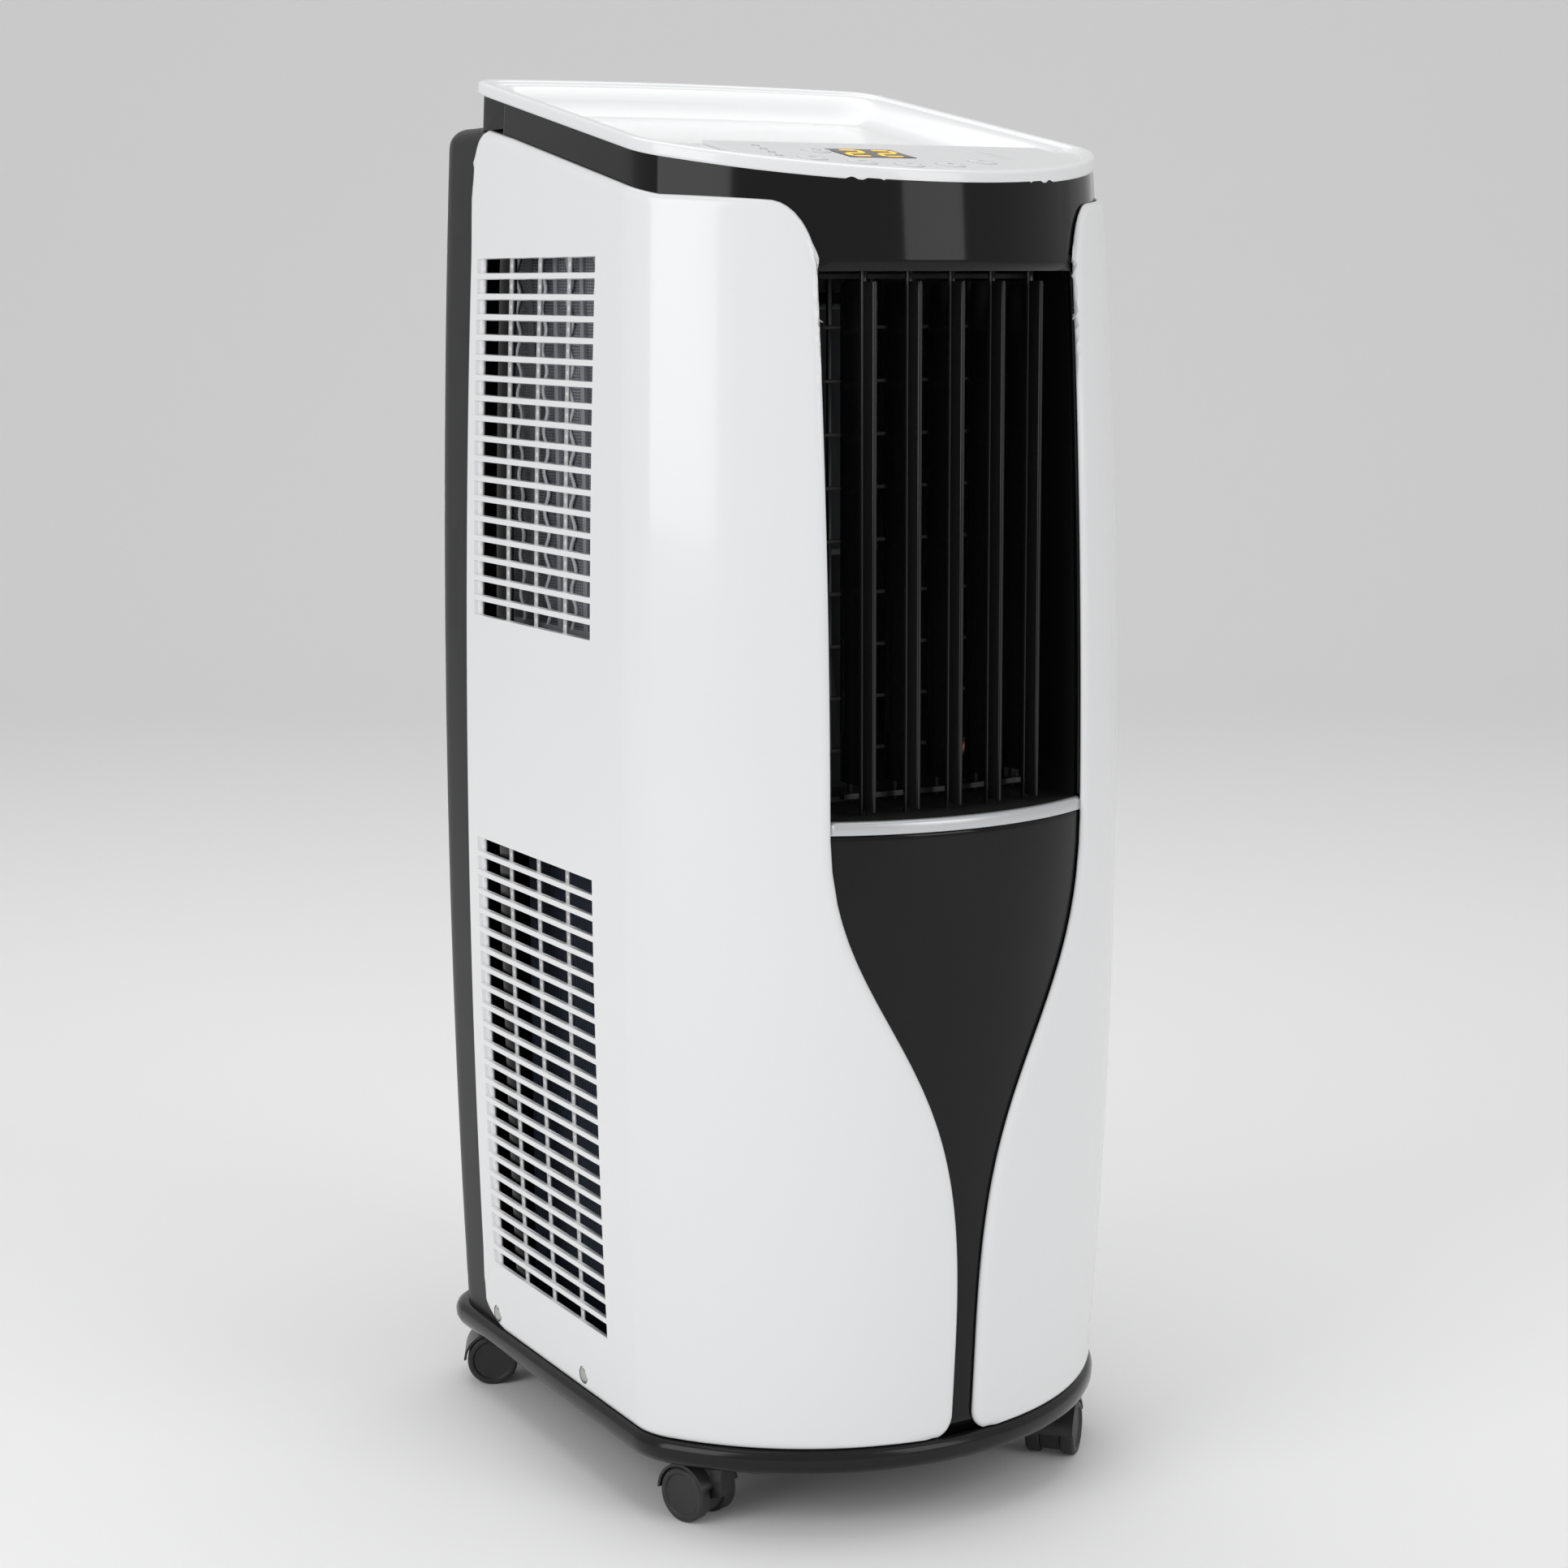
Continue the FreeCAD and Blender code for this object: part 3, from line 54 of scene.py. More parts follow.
def casing_plan(z, proud=0.0, back=192.0, corner=36.0):
    """The casing's half plan at levels z, in mm: each value is an array like z.

    The front is an arc about (0, front_y), the side a line of slope 0.0436 through
    (-half, -90), both joined by a crease arc of radius 42, and the rear corner rolls
    into an arc of radius 700.  swell = ((z - 370) / 325)^2 draws the ends in.
    """
    swell = ((z - BARREL_MIDDLE) / BARREL_REACH) ** 2
    radius = 172 - 8 * swell + proud
    front_y = -197 + 14 * swell - proud + radius
    half = 153 - 8 * swell + proud
    tilt = np.array([0.0436, 1.0]) / math.hypot(0.0436, 1.0)
    inward = np.array([tilt[1], -tilt[0]])

    def rolling(fillet, centre_y, big, way):
        px = -half + inward[0] * fillet
        py = -90 + inward[1] * fillet - centre_y
        slide = -(px * tilt[0] + py * tilt[1])
        reach = np.sqrt(slide**2 - px**2 - py**2 + (big - fillet) ** 2)
        return px + tilt[0] * (slide + way * reach), py + centre_y + tilt[1] * (slide + way * reach)

    crease = rolling(42.0, front_y, radius, -1)
    rear_y = back + proud - 700
    bend = rolling(corner, rear_y, 700.0, 1)
    return dict(radius=radius, front_y=front_y, half=half, tilt=tilt, inward=inward, crease=crease,
                bend=bend, corner=corner, rear_y=rear_y)


def side_point(plan, y):
    """Points (x, y) on the straight side of the left casing wall at the given y."""
    return -plan["half"] + (y + 90) * plan["tilt"][0] / plan["tilt"][1], y


def crease_point(plan, turn):
    """Points on the crease arc: turn 0 is the side's end and turn 1 the front arc's start."""
    cx, cy = plan["crease"]
    first = math.atan2(-plan["inward"][1], -plan["inward"][0]) % (2 * math.pi)
    last = np.arctan2(cy - plan["front_y"], cx) % (2 * math.pi)
    angle = first + (last - first) * turn
    return cx + 42 * np.cos(angle), cy + 42 * np.sin(angle)


def front_point(plan, x):
    """Points on the front arc at the given x."""
    return x, plan["front_y"] - np.sqrt(plan["radius"] ** 2 - x**2)


def front_start(plan):
    """Where the crease meets the front arc: the x of the tangent point."""
    cx, cy = plan["crease"]
    return cx * plan["radius"] / np.hypot(cx, cy - plan["front_y"])


def lay_mesh(name, points, faces, sharp=35.0):
    """A mesh object from an array of points in mm and index tuples, with smooth shading by angle."""
    mesh = bpy.data.meshes.new(name)
    mesh.from_pydata(np.asarray(points, float).reshape(-1, 3) * 0.001, [], np.asarray(faces).tolist())
    mesh.validate()
    mesh.shade_smooth()
    mesh.set_sharp_from_angle(angle=math.radians(sharp))
    obj = bpy.data.objects.new(name, mesh)
    bpy.context.scene.collection.objects.link(obj)
    return obj


def grid_faces(rows, columns, keep=None, wrap=False):
    """Quads over a rows x columns grid of points, optionally masked and closed round the columns."""
    row, column = np.meshgrid(np.arange(rows - 1), np.arange(columns if wrap else columns - 1),
                              indexing="ij")
    after = (column + 1) % columns
    quads = np.stack([row * columns + column, row * columns + after,
                      (row + 1) * columns + after, (row + 1) * columns + column], axis=-1)
    return quads[keep] if keep is not None else quads.reshape(-1, 4)


def thicken(obj, wall, offset=-1.0):
    """A Solidify modifier that grows the wall inwards, in mm."""
    shell = obj.modifiers.new("wall", "SOLIDIFY")
    shell.thickness = wall * 0.001
    shell.offset = offset
    return obj


def fit_piece(obj, body, slot, *nodes):
    """Hangs a finished piece on its CAD body, in place of the CAD nodes it stands for."""
    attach(obj, body)
    if nodes:
        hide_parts(*nodes)
    return obj


GRILLE_FRONT, GRILLE_REAR, BAR, SLOT, PITCH = -53.0, 100.0, 4.2, 7.6, 11.17
STEM_HALF, STEM_LEVEL, BOWL_HALF, BOWL_LEVEL = 6.5, 100.0, 79.5, 380.0
WAIST, FLARE, FOOT = 1.45, 12.0, 48.0


def goblet_half(z):
    """Half width of the gap between the panels at levels z.

    With t = (z - stem level) / (bowl level - stem level) held between 0 and 1, it is
    stem + (bowl - stem) t^2 / (t^2 + (waist (1 - t))^2), and the foot adds a quarter
    round: flare (1 - sqrt(1 - u^2)), with u = (foot + flare - z) / flare.
    """
    t = np.clip((z - STEM_LEVEL) / (BOWL_LEVEL - STEM_LEVEL), 0, 1)
    u = np.clip((FOOT + FLARE - z) / FLARE, 0, 1)
    rise = t**2 / (t**2 + (WAIST * (1 - t)) ** 2)
    return STEM_HALF + (BOWL_HALF - STEM_HALF) * rise + FLARE * (1 - np.sqrt(1 - u**2))


def panel_edge_top(y):
    """Level of the panel's top edge along the side: a straight slope, rolled down at the rear end."""
    straight = 701.3 + 0.2 * (y + 98.7)
    over = np.clip((y - 87.5) / 24.0, 0, 1)
    return straight - 24 * (1 - np.sqrt(1 - over**2))


def side_panel_grid():
    """Rows of levels by columns of places for the left panel, and which quads are open slots."""
    # columns: rear edge, grille field, stretch to the crease, crease, front arc to the goblet
    step = (GRILLE_REAR - 7.0 - GRILLE_FRONT + BAR) / 4
    field = [GRILLE_REAR + 0.3, GRILLE_REAR - 0.5]
    depth = [0.0, 1.0]
    for cell in (3, 2, 1, 0):
        start = GRILLE_FRONT + step * cell
        ends = [start + step - BAR, start + (0.0 if cell else 0.5)]
        field += ends
        depth += [1.0, 1.0]
    field += [GRILLE_FRONT - 0.3]
    depth += [0.0]
    rear_edge = [0.0, 0.5, 1.1, 1.9, 2.9, 4.0, 5.2, 7.0, 9.0]
    crease_turns = np.linspace(0, 1, 13)
    front_share = np.concatenate([np.linspace(0, 0.9, 19)[1:], [0.93, 0.953, 0.97, 0.982, 0.991, 0.997, 1.0]])
    # rows: bottom roll, slot fields, shoulder
    rows = [48.4, 48.9, 49.5, 50.3, 51.3, 52.4, 53.6, 56, 59, 63, 68, 76]
    row_depth = [0.0] * len(rows)

    def add_field(first, count):
        for index in reversed(range(count)):
            middle = first - PITCH * (index + 0.5)
            rows.extend([middle - SLOT / 2 - 0.3, middle - SLOT / 2 + 0.1,
                         middle + SLOT / 2 - 0.1, middle + SLOT / 2 + 0.3])
            row_depth.extend([0.0, 1.0, 1.0, 0.0])

    add_field(345.0, 23)
    rows.extend([360, 376, 392, 408, 424, 440, 456])
    row_depth.extend([0.0] * 7)
    add_field(670.5, 18)
    rows = np.array(rows)
    row_depth = np.array(row_depth)
    shoulder = np.array([0.2, 0.4, 0.6, 0.75, 0.84, 0.89, 0.925, 0.95, 0.97, 0.985, 0.994, 1.0])
    base = len(rows)
    count = base + len(shoulder)
    side = len(rear_edge) + len(field)
    columns = side + 4 + len(crease_turns) + len(front_share)
    # the top edge and the row squeeze, column by column, then levels for every point
    side_y = np.concatenate([112.0 - np.array(rear_edge), field, np.linspace(-57, -78, 4)])
    top_side = panel_edge_top(side_y)
    plan_top = casing_plan(np.array([700.0]))
    crease_xy = crease_point(plan_top, crease_turns)
    top_crease = 701.3 + 0.2 * (crease_xy[1] + 98.7)
    start_x = front_start(plan_top)[0]
    goal_x = -BOWL_HALF
    top_x = start_x + (goal_x - start_x) * front_share
    top_front = 701.3 + 0.2 * (crease_xy[1][-1] + 98.7) - 0.085 * (top_x - start_x)
    over = np.clip((top_x - (goal_x - 19.0)) / 19.0, 0, 1)
    top_front = top_front - 33 * (1 - np.sqrt(1 - np.minimum(over, 1) ** 2))
    top = np.concatenate([top_side, top_crease, top_front])
    limit = np.concatenate([np.minimum(676.0, top_side - 4), np.full(len(crease_turns), 676.0),
                            600 + 76 * (top_front - 600) / (top_crease[-1] - 600)])
    levels = np.empty((count, columns))
    low_rows = rows[:, None]
    squeeze = 600 + (low_rows - 600) * (limit[None, :] - 600) / 76.0
    levels[:base] = np.where(low_rows > 600, squeeze, low_rows)
    last = levels[base - 1]
    levels[base:] = last + (top[None, :] - last) * shoulder[:, None]
    # the bottom corner at the rear rolls up
    under = np.clip((side_y - 92) / 20.0, 0, 1)
    lift = np.zeros(columns)
    lift[: len(side_y)] = 14 * (1 - np.sqrt(1 - under**2))
    fade = np.clip(1 - (levels - 48.4) / 50.0, 0, 1)
    levels += lift[None, :] * fade
    plan = casing_plan(levels, proud=-0.06)
    x = np.empty_like(levels)
    y = np.empty_like(levels)
    # the rear edge leans: 120.5 at the foot, 111.5 at the top
    rear_at = np.clip(111.5 + (737.0 - levels) * 0.013, 111.5, 120.5)
    blend = np.clip(1 - np.arange(columns) / 9.0, 0, 1)[None, :]
    n_side = len(side_y)
    lean = (rear_at - 112.0)[:, :n_side] * blend[:, :n_side]
    x[:, :n_side], y[:, :n_side] = side_point({k: (v[:, :n_side] if np.ndim(v) == 2 else v)
                                               for k, v in plan.items()}, side_y[None, :] + lean)

    def part(first, last):
        return {k: (tuple(w[:, first:last] for w in v) if isinstance(v, tuple) else
                    v[:, first:last] if np.ndim(v) == 2 else v) for k, v in plan.items()}

    n_crease = n_side + len(crease_turns)
    x[:, n_side:n_crease], y[:, n_side:n_crease] = crease_point(part(n_side, n_crease), crease_turns[None, :])
    rest = part(n_crease, columns)
    begin = front_start(rest)
    goblet = goblet_half(levels[:, n_crease:])
    across = begin + (-goblet - begin) * front_share[None, :]
    x[:, n_crease:], y[:, n_crease:] = front_point(rest, across)
    sink = np.zeros((count, columns))
    column_depth = np.zeros(columns)
    column_depth[len(rear_edge):len(rear_edge) + len(field)] = depth
    sink[:base] = row_depth[:, None] * column_depth[None, :]
    open_column = np.zeros(columns - 1, bool)
    for cell in range(4):
        open_column[len(rear_edge) + 2 + 2 * cell] = True
    open_row = np.zeros(count - 1, bool)
    open_row[: base - 1] = (row_depth[:-1] > 0) & (row_depth[1:] > 0)
    keep = ~(open_row[:, None] & open_column[None, :])
    return np.stack([x, y, levels], axis=-1), sink, keep


def roll_edges(points, width, drop):
    """How far each grid point sinks near the grid's border: a quarter ellipse, width by drop."""
    rim = np.concatenate([points[0], points[-1], points[:, 0], points[:, -1]])
    nearest = np.full(points.shape[:2], 1e9)
    for chunk in np.array_split(rim, 24):
        gap = np.linalg.norm(points[:, :, None, :] - chunk[None, None, :, :], axis=-1).min(axis=-1)
        nearest = np.minimum(nearest, gap)
    t = np.clip(1 - nearest / width, 0, 1)
    return drop * (1 - np.sqrt(1 - t**2))


def outward(points):
    """Unit normals of a grid, from the cross product of its row and column differences."""
    normal = np.cross(np.gradient(points, axis=0), np.gradient(points, axis=1))
    normal /= np.linalg.norm(normal, axis=-1, keepdims=True) + 1e-12
    side = np.sign((normal[..., :2] * (points[..., :2] - np.array([0.0, 0.0]))).sum(-1))
    return normal * np.where(side == 0, 1, side)[..., None]


panel_points, panel_sink, panel_keep = side_panel_grid()
panel_normal = outward(panel_points)
panel_low = panel_sink * 2.0 + roll_edges(panel_points, 5.0, 3.0)
panel_points = panel_points - panel_normal * panel_low[..., None]

# Gloss white plastic: nearly mirror-smooth, with a faint orange-peel from the mould.


def group_moulded():
    """Group 'moulded skin': value noise at two scales gives a tone shift, a roughness and a normal."""
    group = bpy.data.node_groups.new("moulded skin", "ShaderNodeTree")
    face = group.interface
    for name, kind, value in (("Colour", "NodeSocketColor", (0.8, 0.8, 0.8, 1)),
                              ("Tone", "NodeSocketFloat", 0.03),
                              ("Roughness", "NodeSocketFloat", 0.3),
                              ("Roughness Shift", "NodeSocketFloat", 0.05),
                              ("Grain Scale", "NodeSocketFloat", 900.0), ("Grain", "NodeSocketFloat", 0.05),
                              ("Dust", "NodeSocketFloat", 0.0)):
        face.new_socket(name, in_out="INPUT", socket_type=kind).default_value = value
    face.new_socket("Colour", in_out="OUTPUT", socket_type="NodeSocketColor")
    face.new_socket("Roughness", in_out="OUTPUT", socket_type="NodeSocketFloat")
    face.new_socket("Normal", in_out="OUTPUT", socket_type="NodeSocketVector")
    nodes, links = group.nodes, group.links
    enter, leave = nodes.new("NodeGroupInput"), nodes.new("NodeGroupOutput")
    place = nodes.new("ShaderNodeTexCoord")
    broad, fine = nodes.new("ShaderNodeTexNoise"), nodes.new("ShaderNodeTexNoise")
    broad.inputs["Scale"].default_value = 9.0
    broad.inputs["Detail"].default_value = 4.0
    fine.inputs["Detail"].default_value = 3.0
    for noise in (broad, fine):
        links.new(place.outputs["Object"], noise.inputs["Vector"])
    links.new(enter.outputs["Grain Scale"], fine.inputs["Scale"])
    centred = nodes.new("ShaderNodeMath")
    centred.operation = "SUBTRACT"
    centred.inputs[1].default_value = 0.5
    links.new(broad.outputs["Fac"], centred.inputs[0])
    shift = nodes.new("ShaderNodeMath")
    shift.operation = "MULTIPLY"
    links.new(centred.outputs[0], shift.inputs[0])
    links.new(enter.outputs["Tone"], shift.inputs[1])
    bright = nodes.new("ShaderNodeMath")
    bright.inputs[1].default_value = 1.0
    links.new(shift.outputs[0], bright.inputs[0])
    tint = nodes.new("ShaderNodeHueSaturation")
    links.new(bright.outputs[0], tint.inputs["Value"])
    links.new(enter.outputs["Colour"], tint.inputs["Color"])
    up = nodes.new("ShaderNodeNewGeometry")
    split = nodes.new("ShaderNodeSeparateXYZ")
    links.new(up.outputs["Normal"], split.inputs[0])
    settle = nodes.new("ShaderNodeMapRange")
    settle.inputs["From Min"].default_value = 0.3
    settle.inputs["From Max"].default_value = 1.0
    links.new(split.outputs["Z"], settle.inputs["Value"])
    film = nodes.new("ShaderNodeMath")
    film.operation = "MULTIPLY"
    links.new(settle.outputs["Result"], film.inputs[0])
    links.new(enter.outputs["Dust"], film.inputs[1])
    dusty = nodes.new("ShaderNodeMix")
    dusty.data_type = "RGBA"
    dusty.inputs["B"].default_value = (0.55, 0.54, 0.52, 1)
    links.new(film.outputs[0], dusty.inputs["Factor"])
    links.new(tint.outputs["Color"], dusty.inputs["A"])
    links.new(dusty.outputs["Result"], leave.inputs["Colour"])
    rough = nodes.new("ShaderNodeMath")
    rough.operation = "MULTIPLY_ADD"
    links.new(centred.outputs[0], rough.inputs[0])
    links.new(enter.outputs["Roughness Shift"], rough.inputs[1])
    links.new(enter.outputs["Roughness"], rough.inputs[2])
    links.new(rough.outputs[0], leave.inputs["Roughness"])
    bump = nodes.new("ShaderNodeBump")
    bump.inputs["Distance"].default_value = 0.0002
    links.new(enter.outputs["Grain"], bump.inputs["Strength"])
    links.new(fine.outputs["Fac"], bump.inputs["Height"])
    links.new(bump.outputs["Normal"], leave.inputs["Normal"])
    return group


MOULDED = group_moulded()


def plastic(name, colour, roughness=0.3, coat=0.0, tone=0.04, shift=0.06, scale=900.0, grain=0.05,
            dust=0.0, metallic=0.0, specular=0.5):
    """A moulded, painted or drawn surface: the shared skin feeds a Principled shader."""
    material = bpy.data.materials.new(name)
    material.use_nodes = True
    nodes, links = material.node_tree.nodes, material.node_tree.links
    shader = nodes["Principled BSDF"]
    skin = nodes.new("ShaderNodeGroup")
    skin.node_tree = MOULDED
    skin.inputs["Colour"].default_value = (*colour, 1)
    for socket, value in (("Tone", tone), ("Roughness", roughness), ("Roughness Shift", shift),
                          ("Grain Scale", scale), ("Grain", grain), ("Dust", dust)):
        skin.inputs[socket].default_value = value
    links.new(skin.outputs["Colour"], shader.inputs["Base Color"])
    links.new(skin.outputs["Roughness"], shader.inputs["Roughness"])
    links.new(skin.outputs["Normal"], shader.inputs["Normal"])
    shader.inputs["Coat Weight"].default_value = coat
    shader.inputs["Coat Roughness"].default_value = 0.06
    shader.inputs["Metallic"].default_value = metallic
    shader.inputs["Specular IOR Level"].default_value = specular
    return material


WHITE = plastic("gloss white plastic", (0.83, 0.835, 0.845), roughness=0.22, coat=0.35, tone=0.02,
                scale=350.0, grain=0.03, dust=0.03)

for side, hand in (("left", 1.0), ("right", -1.0)):
    placed = panel_points * np.array([hand, 1.0, 1.0])
    quads = grid_faces(*panel_points.shape[:2], keep=panel_keep)
    quads = quads if hand > 0 else quads[:, ::-1]
    panel = lay_mesh(side + "_panel_shell", placed, quads, sharp=32)
    thicken(panel, 2.0)
    panel.data.materials.append(WHITE)
    fit_piece(panel, "chassis", "white_gloss", side + "_side_panel")

# ------------------------------------------------------------------ screws at the foot of the panels
# A plated cross-head screw in a shallow cup holds each panel to the base, two on each side.

CUP = plastic("shadowed screw cup", (0.09, 0.09, 0.095), roughness=0.5)
HEAD = plastic("plated screw head", (0.5, 0.5, 0.49), roughness=0.28, metallic=1.0, tone=0.1,
               scale=800.0, grain=0.1)
SCREW_LEVEL, SCREW_SPOTS = 58.0, (100.0, -19.0)
for hand in (-1.0, 1.0):
    for number, spot in enumerate(SCREW_SPOTS):
        foot_plan = casing_plan(np.array([SCREW_LEVEL]))
        face_x = -side_point(foot_plan, spot)[0][0]
        turn = np.radians(np.arange(0, 360, 15))
        for label, material, radii, lifts in (
                ("cup", CUP, (5.2, 4.9, 4.4, 4.0), (-0.2, 0.12, 0.1, -0.2)),
                ("head", HEAD, (4.1, 3.9, 3.0, 1.6, 0.05), (-0.2, 0.25, 0.55, 0.7, 0.75))):
            reach = np.array(radii)[:, None]
            rise = np.array(lifts)[:, None] + 0 * turn[None, :]
            dish = np.stack([hand * (face_x + rise), spot + reach * np.cos(turn)[None, :],
                             SCREW_LEVEL + reach * np.sin(turn)[None, :]], axis=-1)
            quads = grid_faces(len(radii), len(turn), wrap=True)
            name = "panel_screw_%s_%s_%d" % (label, "left" if hand < 0 else "right", number)
            piece = lay_mesh(name, dish, quads if hand < 0 else quads[:, ::-1], sharp=50)
            piece.data.materials.append(material)
            fit_piece(piece, "chassis", "screw_steel")

# ------------------------------------------------------------------ gloss black front frame
# One piano-black moulding carries the outlet mouth, the bay for the front plate and the band
# under the lid.  Only the band and the header over the outlet show; the panels hide the rest.

LID_LOW, LID_SLOPE, LID_FRONT = 703.7, 0.195, -184.0


def lid_level(y):
    """Level of the lid's lower plane above a plan place."""
    return LID_LOW + LID_SLOPE * (y - LID_FRONT)


def part_of(plan, pick):
    """The same plan for some of its columns."""
    return {k: (tuple(w[:, pick] for w in v) if isinstance(v, tuple) else
                v[:, pick] if np.ndim(v) == 2 else v) for k, v in plan.items()}


def half_skin(levels, side_y, turns, stops, proud):
    """Left half of a casing skin: columns at side places, crease turns and fixed x stops in front."""
    plan = casing_plan(levels, proud)
    n_side, n_turn = len(side_y), len(turns)
    first = slice(0, n_side)
    middle = slice(n_side, n_side + n_turn)
    last = slice(n_side + n_turn, levels.shape[1])
    x, y = np.empty_like(levels), np.empty_like(levels)
    x[:, first], y[:, first] = side_point(part_of(plan, first), np.asarray(side_y)[None, :]
                                          + 0 * levels[:, first])
    x[:, middle], y[:, middle] = crease_point(part_of(plan, middle), np.asarray(turns)[None, :])
    across = np.asarray(stops)[None, :] + 0 * levels[:, last]
    x[:, last], y[:, last] = front_point(part_of(plan, last), across)
    return np.stack([x, y, levels], axis=-1)


def both_halves(points, keep):
    """Joins a left half skin to its mirror image along the middle column."""
    mirror = points[:, -2::-1] * np.array([-1.0, 1.0, 1.0])
    return np.concatenate([points, mirror], axis=1), np.concatenate([keep, keep[:, ::-1]], axis=1)


frame_side = np.array([77.9, 77.2, 60, 40, 20, 0, -20, -40, -56, -66, -74])
frame_turns = np.linspace(0, 1, 11)
frame_stops = np.array([-108, -101, -96, -90, -84.7, -79.3, -79.0, -70, -60, -50, -40, -30, -20, -10, 0.0])
frame_rows = np.array([48.2, 60, 72, 85.1, 110, 140, 180, 220, 260, 300, 348, 386, 387, 420, 466.4, 500,
                       540, 580, 620, 660.6, 661, 667, 673.5])
crown = np.array([0.12, 0.25, 0.4, 0.55, 0.7, 0.82, 0.9, 0.96, 0.985, 1.0])
columns = len(frame_side) + len(frame_turns) + len(frame_stops)
levels = np.repeat(frame_rows[:, None], columns, axis=1)
rough_points = half_skin(levels, frame_side, frame_turns, frame_stops, -4.0)
top_of = lid_level(rough_points[-1, :, 1]) - 0.1
levels = np.concatenate([levels, levels[-1] + (top_of - levels[-1])[None, :] * crown[:, None]])
frame_points = half_skin(levels, frame_side, frame_turns, frame_stops, -4.0)
frame_points[len(frame_rows):, :, 2] = (673.5 + (lid_level(frame_points[len(frame_rows):, :, 1]) - 0.1
                                                 - 673.5) * crown[:, None])
quad_low = levels[:-1, :-1] + 0.01
quad_high = levels[1:, 1:] - 0.01
n_window = (np.arange(columns - 1) >= 2) & (np.arange(columns - 1) < 8)
lower = (quad_low >= 85.1) & (quad_high <= 348)
upper = (quad_low >= 466.4) & (quad_high <= 673.5)
n_bay = np.arange(columns - 1) >= len(frame_side) + len(frame_turns) + 4
n_mouth = np.arange(columns - 1) >= len(frame_side) + len(frame_turns) + 6
keep = ~((lower | upper) & n_window[None, :])
keep &= ~((quad_high <= 386) & n_bay[None, :])
keep &= ~((quad_low >= 386) & (quad_high <= 661) & n_mouth[None, :])
frame_all, keep_all = both_halves(frame_points, keep)
front_faces = grid_faces(*frame_all.shape[:2], keep=keep_all)
front_skin = lay_mesh("black_front_skin", frame_all, front_faces, sharp=40)
thicken(front_skin, 2.8)
PIANO = plastic("piano black plastic", (0.003, 0.003, 0.0033), roughness=0.09, coat=0.08, tone=0.3,
                shift=0.03, scale=260.0, grain=0.02, dust=0.004, specular=0.25)
front_skin.data.materials.append(PIANO)
fit_piece(front_skin, "chassis", "black_gloss", "front_frame")

# ------------------------------------------------------------------ goblet-shaped front plate
# A separate gloss black plate closes the front below the outlet, with its edges under the panels.

plate_stops = np.linspace(-84.2, 0, 22)
plate_rows = np.concatenate([np.linspace(48.3, 372, 36), [375, 376.6, 377.5, 378.0, 378.2]])
plate_points = half_skin(np.repeat(plate_rows[:, None], 22, axis=1), [], [], plate_stops, -4.0)
plate_points[-3:, :, 1] += np.array([0.15, 0.5, 1.0])[:, None]
plate_all, plate_keep = both_halves(plate_points, np.ones((len(plate_rows) - 1, 21), bool))
plate_faces = grid_faces(*plate_all.shape[:2], keep=plate_keep)
front_plate = lay_mesh("goblet_front_plate", plate_all, plate_faces, sharp=50)
thicken(front_plate, 2.8)
front_plate.data.materials.append(PIANO)
fit_piece(front_plate, "chassis", "black_gloss", "lower_front_panel")

# ------------------------------------------------------------------ silver strip under the outlet
# A curved bar painted satin silver, snapped on between the plate and the outlet, top edge rolled.

strip_profile = np.array([(378.5, 5.2), (378.5, 3.4), (378.8, 3.1), (379.4, 3.0), (381.5, 3.0), (383.4, 3.05),
                          (384.0, 3.3), (384.9, 4.2), (385.4, 5.0), (385.45, 6.4)])
strip_stops = np.linspace(-78.4, 0, 25)
strip_points = np.stack([half_skin(np.full((1, 25), z), [], [], strip_stops, -sunk)[0]
                         for z, sunk in strip_profile])
strip_all, strip_keep = both_halves(strip_points, np.ones((len(strip_profile) - 1, 24), bool))
strip_faces = grid_faces(*strip_all.shape[:2], keep=strip_keep)
strip = lay_mesh("silver_outlet_strip", strip_all, strip_faces, sharp=30)
thicken(strip, 1.4)
SILVER = plastic("satin silver paint", (0.6, 0.61, 0.62), roughness=0.32, metallic=0.55, tone=0.05,
                 scale=1500.0, grain=0.08)
strip.data.materials.append(SILVER)
fit_piece(strip, "chassis", "silver_trim", "trim_strip")

# ------------------------------------------------------------------ sloped lid
# A gloss white moulding: a rolled lip all round, a level land in front for the controls and a
# shallow dished basin behind it.

lid_steps = np.array([0, 0, 0.05, 0.35, 0.9, 1.8, 3.0, 4.2, 5.4, 6.3, 6.9, 7.3, 7.7, 8.2,
                      9.5, 11.5, 14, 17, 20, 23])
lip_rise = [-1.2, 0.1, 3.3, 4.4, 5.0, 5.4, 5.5, 5.5, 5.4, 5.0, 4.4, 3.9, 3.6]
lid_rise = np.array(lip_rise + [3.5] * (len(lid_steps) - len(lip_rise)))


